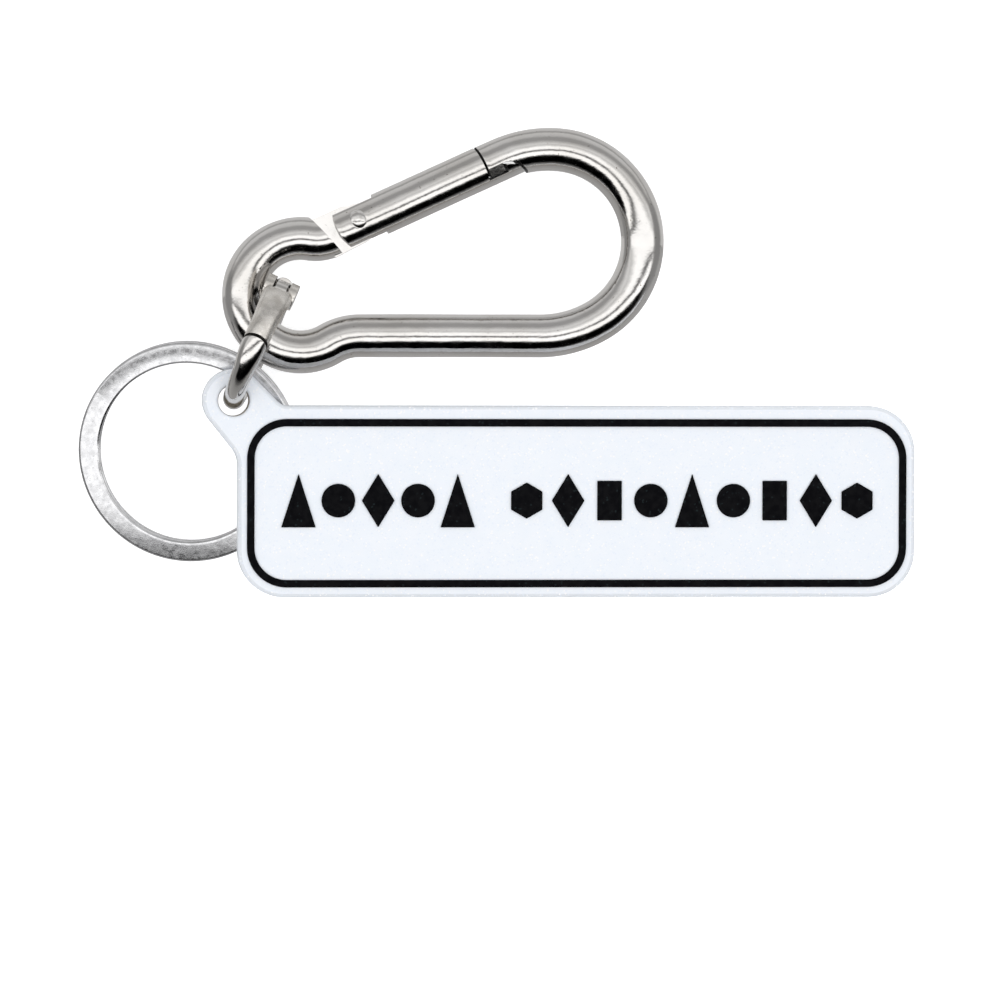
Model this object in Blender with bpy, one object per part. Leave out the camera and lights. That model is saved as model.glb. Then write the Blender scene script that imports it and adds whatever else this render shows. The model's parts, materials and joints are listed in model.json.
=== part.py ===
"""Carabiner keyring: a spring-hook carabiner, a spring-gate link, a split ring and an acrylic tag.

The object lies on a surface at z = 0. +X runs along the tag, +Z is up, and the origin is the middle
of the object's footprint. Lengths are metres; MM turns millimetres into metres.
"""

from math import acos, atan2, ceil, cos, hypot, pi, radians, sin, sqrt

import bmesh
import bpy
from mathutils import Matrix, Vector

MM = 0.001
GAP = 0.3 * MM
INNER_FIT = 0.15 * MM

# Carabiner, drawn in its own plane with the middle of the small eye at the origin.
BAR_R = 2.5 * MM
EYE_R = 6.6 * MM
BOW_R = 10.7 * MM
BOW_CENTRE = Vector((29.17, 6.35)) * MM
SPINE_Y = -4.69 * MM
GATE_ANGLE = radians(24.6)
GATE_LINE_FROM_BOW = 11.1 * MM
NECK_R = 6.74 * MM
HINGE_BEND_R = 4.5 * MM
NOSE_ARC_START = radians(85)
LOWER_ARC_START = radians(-60)
LINK_CONTACT_ANGLE = radians(228)

# Gate, drawn along its own axis: s along the gate, t square to it and away from the bow's inside.
RIVET_S = -19.49 * MM
RIVET_T = 0.6 * MM
TONGUE_HALF = 1.0 * MM
TONGUE_TOP = 2.45 * MM
TONGUE_BACK = -24.6 * MM
TONGUE_CAM_R = 1.7 * MM
TONGUE_HEAD_R = 1.9 * MM
CAM_OFFSET = Vector((0.2, -0.9)) * MM
SHOULDER = (Vector((-24.41, 2.82)) * MM, Vector((-22.78, -2.15)) * MM)
SHOULDER_REACH = 1.5 * MM
EAR_END_R = 5.5 * MM
EAR_END_S = -22.2 * MM
SLOT_END_S = -16.85 * MM
BORE_R = 1.15 * MM
BORE_T = -0.45 * MM
BORE_END_S = -8.6 * MM
PLUNGER_LENGTH = 2.2 * MM
RIVET_SHAFT_R = 0.75 * MM
RIVET_HEAD_R = 1.1 * MM
RIVET_HEAD_BASE = 2.2 * MM
RIVET_HEAD_TOP = 2.68 * MM
COUNTERBORE_R = 1.25 * MM
COUNTERBORE_FLOOR = 2.05 * MM

# Latch: the gate's hooked end holds the block that hangs from the nose.
SEAM_S = -3.4 * MM
SEAM_BULGE = 0.35 * MM
BLOCK_LEFT = SEAM_S + SEAM_BULGE + GAP
BLOCK_RIGHT = -1.35 * MM
BLOCK_BOTTOM = -1.5 * MM
POCKET_TOP = -0.35 * MM
LIP_RIGHT = -0.5 * MM
LIP_TOE = Vector((1.0, -2.6)) * MM
LIP_CLEARANCE = 0.39 * MM
NOSE_LEAD = 1.0 * MM

# Link: a spring-gate ring that stands on its edge, drawn with x along the surface and z up.
LINK_R = 7.05 * MM
LINK_WIRE_R = 1.2 * MM
LINK_HINGE = radians(24)
LINK_SHOULDER = radians(11)
LINK_SEAM_TOP = Vector((0.96, 8.3)) * MM
LINK_SEAM_SLOPE = radians(50)
LINK_TONGUE_HALF = 0.75 * MM
LINK_TONGUE_R = 0.95 * MM
LINK_EAR_INNER = 0.95 * MM
LINK_EAR_OUTER = 1.65 * MM
LINK_SLOT_END = 1.35 * MM
LINK_PIN_R = 0.35 * MM
LINK_BORE_R = 0.55 * MM
LINK_BORE_LENGTH = 3.0 * MM
LINK_BORE_SLOPE = radians(-16)

# Split ring: two flat turns of wire joined by one crossing.
RING_OUTER_R = 12.9 * MM
RING_WIDTH = 2.4 * MM
TURN_HEIGHT = 0.85 * MM
TURN_PITCH = 1.0 * MM
CROSSING_HALF = radians(18)
CROSSING_ANGLE = radians(-90)

# Tag, drawn from the middle of its hole on its underside.
TAG_THICKNESS = 3.0 * MM
TAG_HOLE_R = 1.85 * MM
TAG_EAR_R = 3.6 * MM
TAG_LEFT = 0.5 * MM
TAG_RIGHT = 79.37 * MM
TAG_TOP = -0.58 * MM
TAG_BOTTOM = -22.79 * MM
TAG_CORNER_R = 5.4 * MM
EAR_FOOT_RIGHT = 5.6 * MM
EAR_FOOT_LEFT = -6.4 * MM
FRAME_INSET = 1.04 * MM
FRAME_INSET_Y = (1.53 * MM, 1.17 * MM)
FRAME_LINE = 0.87 * MM
FRAME_CORNER_R = 4.6 * MM
PRINT_HEIGHT = 0.25 * MM
PRINT_LIFT = 0.03 * MM
MARK_ROW_Y = -11.56 * MM
MARK_HEIGHT = 6.2 * MM
MARK_GROUPS = ((5, 7.5 * MM, 4.62 * MM), (9, 34.0 * MM, 4.82 * MM))

# Where the four parts of the chain lie.
LINK_PLACE = Vector((-27.61, 2.11, 8.3)) * MM
LINK_HEADING = radians(66)
LINK_LEAN = radians(-1)
CARABINER_IN_LINK = Vector((0.86, 0, -2.7)) * MM
CARABINER_DESCENT = radians(17.5)
CARABINER_TILT = radians(3.85)
RING_PLACE = Vector((-35.80, -10.35, 3.53)) * MM
RING_RISE_HEADING = radians(55)
RING_TILT = radians(11.5)
TAG_PLACE = Vector((-30.63, -4.43, 7.4)) * MM
TAG_PITCH = radians(4.87)
TAG_ROLL = radians(2.0)

BAR_SIDES = 16
LINK_SIDES = 14
ARC_STEP = radians(8)
FAR = 12 * MM


def clear_scene():
    for item in list(bpy.data.objects):
        bpy.data.objects.remove(item, do_unlink=True)


def make_material(name, colour, roughness, metallic):
    material = bpy.data.materials.new(name)
    material.use_nodes = True
    shader = material.node_tree.nodes["Principled BSDF"]
    shader.inputs["Base Color"].default_value = (*colour, 1.0)
    shader.inputs["Roughness"].default_value = roughness
    shader.inputs["Metallic"].default_value = metallic
    return material


def make_empty(name, matrix=None, parent=None):
    empty = bpy.data.objects.new(name, None)
    bpy.context.scene.collection.objects.link(empty)
    empty.parent = parent
    if matrix is not None:
        empty.matrix_basis = matrix
    return empty


def make_object(name, bm, material=None, parent=None, location=(0, 0, 0), sharp=radians(35)):
    """Turn a bmesh into a named object; without a material it is a cutter."""
    bmesh.ops.recalc_face_normals(bm, faces=bm.faces)
    mesh = bpy.data.meshes.new(name)
    bm.to_mesh(mesh)
    bm.free()
    item = bpy.data.objects.new(name, mesh)
    bpy.context.scene.collection.objects.link(item)
    item.parent = parent
    item.location = location
    if material is None:
        item.hide_render = True
        item.display_type = "WIRE"
    else:
        mesh.materials.append(material)
        mesh.shade_smooth()
        mesh.set_sharp_from_angle(angle=sharp)
    return item


def combine(item, other, operation="DIFFERENCE"):
    modifier = item.modifiers.new(f"{operation.title()} {other.name}", "BOOLEAN")
    modifier.operation = operation
    modifier.solver = "EXACT"
    modifier.object = other


def arc(centre, radius, start, end, step=ARC_STEP):
    """Points on a circle from one angle to another, both ends included."""
    count = max(1, ceil(abs(end - start) / step))
    angles = [start + (end - start) * i / count for i in range(count + 1)]
    return [Vector((centre[0] + radius * cos(a), centre[1] + radius * sin(a))) for a in angles]


def without_doubles(points, closed=False):
    kept = []
    for point in points:
        if not kept or (point - kept[-1]).length > 0.01 * MM:
            kept.append(point)
    if closed and (kept[0] - kept[-1]).length < 0.01 * MM:
        kept.pop()
    return kept


def flat(points, z=0.0):
    return [Vector((p[0], p[1], z)) for p in points]


def upright(points):
    return [Vector((p[0], 0, p[1])) for p in points]


def sweep(bm, centres, section_at, up=Vector((0, 0, 1))):
    """Carry a closed section along open centres; section_at(i) gives (side, up) offsets."""
    rings = []
    last = len(centres) - 1
    for i, centre in enumerate(centres):
        ahead = centres[min(i + 1, last)] - centre
        behind = centre - centres[max(i - 1, 0)]
        along = (ahead.normalized() + behind.normalized()).normalized()
        side = along.cross(up).normalized()
        above = side.cross(along).normalized()
        rings.append([bm.verts.new(centre + side * a + above * b) for a, b in section_at(i)])
    for first, second in zip(rings, rings[1:]):
        for j in range(len(first)):
            k = (j + 1) % len(first)
            bm.faces.new((first[j], first[k], second[k], second[j]))
    bm.faces.new(rings[0])
    bm.faces.new(rings[-1])


def circle_section(radius, sides):
    return [(radius * cos(2 * pi * k / sides), radius * sin(2 * pi * k / sides)) for k in range(sides)]


def tube(centres, radius, sides, up=Vector((0, 0, 1))):
    bm = bmesh.new()
    section = circle_section(radius, sides)
    sweep(bm, centres, lambda i: section, up)
    return bm


def prism(outline, low, high, upright_plane=False):
    """A flat outline given thickness, along z, or along y where the outline stands upright."""
    bm = bmesh.new()
    spread = upright if upright_plane else flat
    offset = Vector((0, 1, 0)) if upright_plane else Vector((0, 0, 1))
    base = [bm.verts.new(p + offset * low) for p in spread(outline)]
    face = bm.faces.new(base)
    grown = bmesh.ops.extrude_face_region(bm, geom=[face])
    lifted = [v for v in grown["geom"] if isinstance(v, bmesh.types.BMVert)]
    bmesh.ops.translate(bm, verts=lifted, vec=offset * (high - low))
    return bm


def turned(profile, axis, segments, start=Vector((0, 0, 0))):
    """Turn a profile of (radius, height) about an axis through start."""
    bm = bmesh.new()
    axis = axis.normalized()
    spin_from = axis.orthogonal().normalized()
    across = axis.cross(spin_from)
    rings = []
    for radius, height in profile:
        centre = start + axis * height
        if radius < 1e-7:
            rings.append([bm.verts.new(centre)])
            continue
        angles = [2 * pi * k / segments for k in range(segments)]
        spokes = [spin_from * cos(a) + across * sin(a) for a in angles]
        rings.append([bm.verts.new(centre + spoke * radius) for spoke in spokes])
    for first, second in zip(rings, rings[1:]):
        for k in range(segments):
            n = (k + 1) % segments
            if len(first) == 1:
                bm.faces.new((first[0], second[k], second[n]))
            elif len(second) == 1:
                bm.faces.new((first[k], first[n], second[0]))
            else:
                bm.faces.new((first[k], first[n], second[n], second[k]))
    for ring in (rings[0], rings[-1]):
        if len(ring) > 1:
            bm.faces.new(ring)
    return bm


def cylinder(radius, start, end, segments=20):
    axis = end - start
    return turned([(radius, 0), (radius, axis.length)], axis, segments, start)


def helix(start, end, radius, wire_r, turns, per_turn=12, sides=5):
    """A coil spring between two points."""
    axis = (end - start).normalized()
    across = axis.orthogonal().normalized()
    third = axis.cross(across)
    count = turns * per_turn
    centres = []
    for i in range(count + 1):
        a = 2 * pi * i / per_turn
        reach = wire_r + ((end - start).length - 2 * wire_r) * i / count
        centres.append(start + axis * reach + (across * cos(a) + third * sin(a)) * radius)
    return tube(centres, wire_r, sides, up=axis)


# ---------------------------------------------------------------- carabiner

GATE_DIR = Vector((cos(GATE_ANGLE), sin(GATE_ANGLE)))
GATE_OUT = Vector((-sin(GATE_ANGLE), cos(GATE_ANGLE)))
GATE_FOOT = BOW_CENTRE + GATE_OUT * GATE_LINE_FROM_BOW


def on_gate_line(s, t=0.0):
    """A point of the carabiner's plane from its place along and square to the gate's axis."""
    return GATE_FOOT + GATE_DIR * s + GATE_OUT * t


def eased_arc(start, end, extra):
    """An arc that leaves the bow's circle at start with its radius longer by extra."""
    centre = BOW_CENTRE - Vector((cos(start), sin(start))) * extra
    return arc(centre, BOW_R + extra, start, end)


def carabiner_path():
    """The bar's middle line from the nose, round the bow, spine and eye, to the hinge."""
    nose_normal = GATE_ANGLE + pi / 2
    nose_extra = (GATE_LINE_FROM_BOW - BOW_R) / (1 - cos(nose_normal - NOSE_ARC_START))
    lower_extra = (BOW_CENTRE.y - BOW_R - SPINE_Y) / (1 + sin(LOWER_ARC_START))
    nose = eased_arc(NOSE_ARC_START, nose_normal, nose_extra)[::-1]
    bow = arc(BOW_CENTRE, BOW_R, NOSE_ARC_START, LOWER_ARC_START)
    lower = eased_arc(LOWER_ARC_START, -pi / 2, lower_extra)
    neck_drop = SPINE_Y - NECK_R
    neck_centre = Vector((sqrt((EYE_R + NECK_R) ** 2 - neck_drop**2), neck_drop))
    neck_angle = atan2(neck_centre.y, neck_centre.x)
    neck = arc(neck_centre, NECK_R, pi / 2, neck_angle + pi)
    eye_s = -GATE_FOOT.dot(GATE_DIR)
    eye_t = -GATE_FOOT.dot(GATE_OUT)
    bend_s = eye_s + sqrt((EYE_R + HINGE_BEND_R) ** 2 - (HINGE_BEND_R - eye_t) ** 2)
    bend_centre = on_gate_line(bend_s, HINGE_BEND_R)
    bend_angle = atan2(bend_centre.y, bend_centre.x)
    eye = arc((0, 0), EYE_R, neck_angle, bend_angle - 2 * pi)
    bend = arc(bend_centre, HINGE_BEND_R, bend_angle - pi, GATE_ANGLE - pi / 2)
    start = [on_gate_line(SEAM_S - NOSE_LEAD)]
    end = [on_gate_line(SHOULDER[1].x + SHOULDER_REACH)]
    return without_doubles(start + nose + bow + lower + neck + eye + bend + end)


def seam_points(shift):
    """The gate's slightly crowned end, from its top to the level of its lower strip."""
    rise = BAR_R + 0.5 * MM
    heights = [rise * (1 - i / 6) + (BLOCK_BOTTOM - GAP) * i / 6 for i in range(7)]
    return [Vector((SEAM_S + shift + SEAM_BULGE * (1 - (h / rise) ** 2), h)) for h in heights]


def gate_latch_outline():
    """What is taken from the gate's end: everything above and beyond its hook."""
    strip = BLOCK_BOTTOM - GAP
    hook = [
        Vector((BLOCK_RIGHT + GAP, strip)),
        Vector((BLOCK_RIGHT + GAP, POCKET_TOP - GAP)),
        Vector((LIP_RIGHT, POCKET_TOP - GAP)),
        LIP_TOE,
    ]
    beyond = [Vector((LIP_TOE.x, -FAR)), Vector((FAR, -FAR)), Vector((FAR, BAR_R + 0.5 * MM))]
    return seam_points(0.0) + hook + beyond


def nose_latch_outline():
    """What is taken from the nose: the space of the gate's hooked end with its clearance."""
    crown = [p for p in seam_points(GAP) if p.y > POCKET_TOP]
    block = [
        Vector((BLOCK_LEFT, POCKET_TOP)),
        Vector((BLOCK_LEFT, BLOCK_BOTTOM)),
        Vector((BLOCK_RIGHT, BLOCK_BOTTOM)),
        Vector((BLOCK_RIGHT, POCKET_TOP)),
        Vector((LIP_RIGHT + 0.2 * MM, POCKET_TOP)),
        LIP_TOE + Vector((LIP_CLEARANCE, 0)),
    ]
    left = SEAM_S - 2 * NOSE_LEAD
    low = LIP_TOE.y - NOSE_LEAD
    beyond = [Vector((LIP_TOE.x + LIP_CLEARANCE, low)), Vector((left, low)), Vector((left, crown[0].y))]
    return crown + block + beyond


def tongue_outline():
    """The flat tongue at the hinge: a round head for the rivet and a cam for the plunger."""
    rivet = Vector((RIVET_S, RIVET_T))
    head = arc(rivet, TONGUE_TOP - RIVET_T, pi / 2, 0, radians(20))
    cam = arc(rivet + CAM_OFFSET, TONGUE_CAM_R, 0, -pi / 2, radians(20))
    back_top = Vector((TONGUE_BACK, TONGUE_TOP - 0.4 * MM))
    back_bottom = Vector((SHOULDER[1].x - 0.9 * MM, cam[-1].y - 0.2 * MM))
    return [back_bottom, back_top] + head + cam


def shoulder_outline():
    """The space past the slanted end of the round bar."""
    top, bottom = SHOULDER
    slope = (top - bottom).normalized() * SHOULDER_REACH
    low = bottom - slope
    high = top + slope
    right = bottom.x + 2 * SHOULDER_REACH
    return [low, Vector((right, low.y)), Vector((right, high.y)), high]


def ear_outline():
    """What is taken from the gate's hinge end to leave rounded ears."""
    centre = Vector((EAR_END_S + EAR_END_R, RIVET_T))
    crown = arc(centre, EAR_END_R, radians(122), radians(238))
    far_left = EAR_END_S - FAR
    return crown + [Vector((far_left, crown[-1].y)), Vector((far_left, crown[0].y))]


def build_carabiner(frame, axis_frame, gate_frame, steel, zinc, spring_steel):
    """The hook's bent bar, its gate, rivet, plunger and spring."""
    body = make_object("carabiner_body", tube(flat(carabiner_path()), BAR_R, BAR_SIDES), steel, frame)
    shoulder = make_object("cut_shoulder", prism(shoulder_outline(), -FAR, FAR), parent=axis_frame)
    flat_tongue = prism(tongue_outline(), -TONGUE_HALF, TONGUE_HALF)
    tongue = make_object("add_tongue", flat_tongue, parent=axis_frame)
    nose = make_object("cut_nose", prism(nose_latch_outline(), -FAR, FAR), parent=axis_frame)
    shaft_hole_r = RIVET_SHAFT_R + INNER_FIT
    rivet_low = Vector((RIVET_S, RIVET_T, -FAR))
    rivet_high = Vector((RIVET_S, RIVET_T, FAR))
    through = cylinder(shaft_hole_r, rivet_low, rivet_high)
    rivet_hole = make_object("cut_rivet_hole", through, parent=axis_frame)
    combine(body, shoulder)
    combine(body, nose)
    combine(body, tongue, "UNION")
    combine(body, rivet_hole)

    rivet = Vector((RIVET_S, RIVET_T, 0))
    stations = (EAR_END_S - 0.5 * MM, SLOT_END_S, LIP_TOE.x + MM)
    bar = tube([Vector((s, 0, 0)) - rivet for s in stations], BAR_R, BAR_SIDES)
    gate = make_object("carabiner_gate", bar, steel, gate_frame)
    hook = make_object("cut_gate_hook", prism(gate_latch_outline(), -FAR, FAR), parent=axis_frame)
    ears = make_object("cut_gate_ears", prism(ear_outline(), -FAR, FAR), parent=axis_frame)
    slot_half = TONGUE_HALF + GAP
    slot_box = [
        Vector((EAR_END_S - FAR, -FAR)),
        Vector((SLOT_END_S, -FAR)),
        Vector((SLOT_END_S, FAR)),
        Vector((EAR_END_S - FAR, FAR)),
    ]
    slot = make_object("cut_gate_slot", prism(slot_box, -slot_half, slot_half), parent=axis_frame)
    bore_start = Vector((SLOT_END_S - MM, BORE_T, 0))
    bore_end = Vector((BORE_END_S, BORE_T, 0))
    bore = make_object("cut_gate_bore", cylinder(BORE_R, bore_start, bore_end, 16), parent=axis_frame)
    combine(gate, hook)
    combine(gate, ears)
    combine(gate, slot)
    combine(gate, bore)
    combine(gate, rivet_hole)
    for side in (1, -1):
        floor = Vector((RIVET_S, RIVET_T, side * COUNTERBORE_FLOOR))
        away = Vector((RIVET_S, RIVET_T, side * FAR))
        recess = cylinder(COUNTERBORE_R, floor, away)
        combine(gate, make_object(f"cut_rivet_recess_{side}", recess, parent=axis_frame))

    dome = [(RIVET_HEAD_R * cos(a), a) for a in (0, radians(35), radians(65), pi / 2)]
    rise = RIVET_HEAD_TOP - RIVET_HEAD_BASE
    top = [(r if r > 1e-6 else 0, RIVET_HEAD_BASE + rise * sin(a)) for r, a in dome]
    upper = [(RIVET_SHAFT_R, RIVET_HEAD_BASE)] + top
    profile = [(r, -h) for r, h in reversed(upper)] + upper
    make_object("gate_rivet", turned(profile, Vector((0, 0, 1)), 16), zinc, gate_frame)

    front = RIVET_S + TONGUE_HEAD_R + 0.25 * MM
    plunger_r = BORE_R - INNER_FIT * 2
    nose_cone = [(0, 0), (plunger_r * 0.6, 0.05 * MM), (plunger_r, 0.35 * MM)]
    plunger_start = Vector((front, BORE_T, 0)) - rivet
    plunger = turned(nose_cone + [(plunger_r, PLUNGER_LENGTH)], Vector((1, 0, 0)), 12)
    make_object("gate_plunger", plunger, zinc, gate_frame, plunger_start)
    coil_start = Vector((front + PLUNGER_LENGTH + INNER_FIT, BORE_T, 0)) - rivet
    coil_end = Vector((BORE_END_S - INNER_FIT, BORE_T, 0)) - rivet
    coil = helix(coil_start, coil_end, plunger_r - 0.2 * MM, 0.17 * MM, 8)
    make_object("gate_spring", coil, spring_steel, gate_frame)


# ---------------------------------------------------------------- link

LINK_PIN = Vector((cos(LINK_HINGE), sin(LINK_HINGE))) * LINK_R
LINK_TANGENT = Vector((-sin(LINK_HINGE), cos(LINK_HINGE)))
LINK_OUT = Vector((cos(LINK_HINGE), sin(LINK_HINGE)))


def by_link_pin(along, out):
    """A point of the link's plane from its place along and out of the ring at the hinge pin."""
    return LINK_PIN + LINK_TANGENT * along + LINK_OUT * out


def link_seam_outline(shift, keep_left):
    """The half plane beyond the slanted seam, moved along its own normal by shift."""
    slope = Vector((cos(LINK_SEAM_SLOPE), sin(LINK_SEAM_SLOPE)))
    normal = Vector((slope.y, -slope.x))
    base = LINK_SEAM_TOP + normal * shift
    away = normal if keep_left else -normal
    low = base - slope * 4 * MM
    high = base + slope * 3 * MM
    return [low, high, high + away * 5 * MM, low + away * 5 * MM]


def build_link(frame, gate_frame, steel, satin, spring_steel):
    """The standing ring, its flattened gate, hinge pin and spring."""
    pin3 = upright([LINK_PIN])[0]
    ring_points = upright(arc((0, 0), LINK_R, radians(76), 2 * pi + LINK_SHOULDER, radians(9)))
    across = Vector((0, 1, 0))
    body = make_object("link_body", tube(ring_points, LINK_WIRE_R, LINK_SIDES, across), steel, frame)
    seam = prism(link_seam_outline(0.0, True), -3 * MM, 3 * MM, True)
    combine(body, make_object("cut_link_seam", seam, parent=frame))
    head = arc((0, 0), LINK_TONGUE_R, pi / 2, -pi / 2, radians(22))
    tongue_points = [by_link_pin(p.x, -p.y) for p in head]
    root_in = by_link_pin(-2.7 * MM, LINK_TONGUE_R - 0.55 * MM)
    root_out = by_link_pin(-2.7 * MM, -LINK_TONGUE_R)
    tongue_points = tongue_points + [root_in, root_out]
    tongue = prism(tongue_points, -LINK_TONGUE_HALF, LINK_TONGUE_HALF, True)
    combine(body, make_object("add_link_tongue", tongue, parent=frame), "UNION")
    hole = cylinder(LINK_PIN_R + INNER_FIT, pin3 - across * 4 * MM, pin3 + across * 4 * MM, 14)
    hole_cutter = make_object("cut_link_pin_hole", hole, parent=frame)
    combine(body, hole_cutter)

    start = LINK_HINGE
    end = radians(103)
    gate_points = upright(arc((0, 0), LINK_R, start, end, radians(7)))
    last = len(gate_points) - 1

    def gate_section(i):
        widen = max(0.0, 1 - 1.6 * i / last)
        half = LINK_WIRE_R + (LINK_EAR_OUTER - LINK_WIRE_R) * widen * widen * (3 - 2 * widen)
        square = 0.35 * widen
        points = []
        for a, b in circle_section(1.0, LINK_SIDES):
            stretch = 1 + square * (1 / max(abs(a), abs(b)) - 1)
            points.append((a * stretch * LINK_WIRE_R, b * stretch * half))
        return points

    bm = bmesh.new()
    sweep(bm, [p - pin3 for p in gate_points], gate_section, across)
    gate = make_object("link_gate", bm, satin, gate_frame)
    eye = cylinder(LINK_WIRE_R, pin3 - across * LINK_EAR_OUTER, pin3 + across * LINK_EAR_OUTER, 20)
    combine(gate, make_object("add_link_gate_eye", eye, parent=frame), "UNION")
    seam = prism(link_seam_outline(0.25 * MM, False), -3 * MM, 3 * MM, True)
    combine(gate, make_object("cut_link_gate_seam", seam, parent=frame))
    back = -4 * MM
    beside = 3 * MM
    corners = ((back, -beside), (LINK_SLOT_END, -beside), (LINK_SLOT_END, beside), (back, beside))
    slot = prism([by_link_pin(a, b) for a, b in corners], -LINK_EAR_INNER, LINK_EAR_INNER, True)
    combine(gate, make_object("cut_link_gate_slot", slot, parent=frame))
    bore_dir = Vector((cos(LINK_BORE_SLOPE), sin(LINK_BORE_SLOPE)))
    bore_mouth = by_link_pin(LINK_SLOT_END - 0.2 * MM, 0.1 * MM)
    reach = bore_dir * (LINK_BORE_LENGTH + 0.2 * MM)
    bore_end = bore_mouth + LINK_TANGENT * reach.x + LINK_OUT * reach.y
    mouth3, end3 = upright([bore_mouth, bore_end])
    bore = make_object("cut_link_bore", cylinder(LINK_BORE_R, mouth3, end3, 12), parent=frame)
    combine(gate, bore)
    combine(gate, hole_cutter)

    pin = cylinder(LINK_PIN_R, pin3 - across * LINK_EAR_OUTER, pin3 + across * LINK_EAR_OUTER, 14)
    make_object("link_hinge_pin", pin, steel, frame)
    coil_dir = (end3 - mouth3).normalized()
    coil_start = mouth3 + coil_dir * 0.1 * MM - pin3
    coil_end = end3 - coil_dir * 0.1 * MM - pin3
    coil = helix(coil_start, coil_end, 0.3 * MM, 0.1 * MM, 6, 10)
    make_object("link_gate_spring", coil, spring_steel, gate_frame)


# ---------------------------------------------------------------- split ring


def build_split_ring(frame, steel):
    """Two flat turns: each end of the wire stops beside the crossing between the turns."""
    middle = RING_OUTER_R - RING_WIDTH / 2
    half_w = RING_WIDTH / 2
    half_h = TURN_HEIGHT / 2
    nip = 0.18 * MM
    section = [
        (half_w - nip, -half_h),
        (half_w, -half_h + nip),
        (half_w, half_h - nip),
        (half_w - nip, half_h),
        (-half_w + nip, half_h),
        (-half_w, half_h - nip),
        (-half_w, -half_h + nip),
        (-half_w + nip, -half_h),
    ]
    start = CROSSING_HALF + INNER_FIT / middle
    end = 4 * pi - start
    count = 92
    centres = []
    for i in range(count + 1):
        angle = start + (end - start) * i / count
        blend = (angle - (2 * pi - CROSSING_HALF)) / (2 * CROSSING_HALF)
        blend = min(1.0, max(0.0, blend))
        height = TURN_PITCH * (blend * blend * (3 - 2 * blend) - 0.5)
        place = angle + CROSSING_ANGLE
        centres.append(Vector((middle * cos(place), middle * sin(place), height)))
    bm = bmesh.new()
    sweep(bm, centres, lambda i: section)
    make_object("split_ring", bm, steel, frame)


# ---------------------------------------------------------------- tag


def rounded_box(left, right, bottom, top, radius, step=radians(15)):
    """A rectangle with round corners, counterclockwise from its lower left corner."""
    corners = ((left, bottom, pi), (right, bottom, 1.5 * pi), (right, top, 0), (left, top, pi / 2))
    points = []
    for x, y, start in corners:
        centre = (x + radius if x == left else x - radius, y + radius if y == bottom else y - radius)
        points += arc(centre, radius, start, start + pi / 2, step)
    return points


def ear_tangent(foot, side):
    """The angle at which a straight edge from foot touches the ear."""
    return atan2(foot.y, foot.x) + side * acos(TAG_EAR_R / hypot(foot.x, foot.y))


def tag_outline():
    foot_right = Vector((EAR_FOOT_RIGHT, TAG_TOP))
    foot_left = Vector((TAG_LEFT, EAR_FOOT_LEFT))
    ear_from = ear_tangent(foot_right, 1)
    ear_to = ear_tangent(foot_left, -1) + 2 * pi
    ear = arc((0, 0), TAG_EAR_R, ear_from, ear_to, radians(12))
    box = rounded_box(TAG_LEFT, TAG_RIGHT, TAG_BOTTOM, TAG_TOP, TAG_CORNER_R)
    corner_points = len(box) // 4
    return [foot_right] + ear + [foot_left] + box[: 3 * corner_points]


def ring_prism(outer, inner, low, high):
    """A flat frame between two outlines of the same number of points."""
    bm = bmesh.new()
    loops = []
    for z in (low, high):
        for outline in (outer, inner):
            loops.append([bm.verts.new((p.x, p.y, z)) for p in outline])
    outer_low, inner_low, outer_high, inner_high = loops
    pairs = (
        (outer_low, inner_low),
        (inner_high, outer_high),
        (outer_high, outer_low),
        (inner_low, inner_high),
    )
    for first, second in pairs:
        for k in range(len(first)):
            n = (k + 1) % len(first)
            bm.faces.new((first[k], first[n], second[n], second[k]))
    return bm


def peak():
    return [Vector((-0.5, -0.5)), Vector((0.5, -0.5)), Vector((0, 0.5))]


def lozenge():
    return [Vector((-0.5, 0)), Vector((0, -0.5)), Vector((0.5, 0)), Vector((0, 0.5))]


def disc():
    return arc((0, 0), 0.5, 0, 2 * pi - radians(20), radians(20))


def hexagon():
    return arc((0, 0), 0.5, radians(30), radians(330), radians(60))


def block():
    return [Vector((-0.42, -0.5)), Vector((0.42, -0.5)), Vector((0.42, 0.5)), Vector((-0.42, 0.5))]


MARK_PATTERNS = (
    (peak, disc, lozenge, disc, peak),
    (hexagon, lozenge, block, disc, peak, disc, block, lozenge, hexagon),
)
MARK_SIZES = {
    peak: (4.0 * MM, MARK_HEIGHT),
    lozenge: (3.8 * MM, MARK_HEIGHT),
    disc: (3.9 * MM, 3.9 * MM),
    hexagon: (4.2 * MM, 4.2 * MM),
    block: (3.4 * MM, 4.6 * MM),
}


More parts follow.
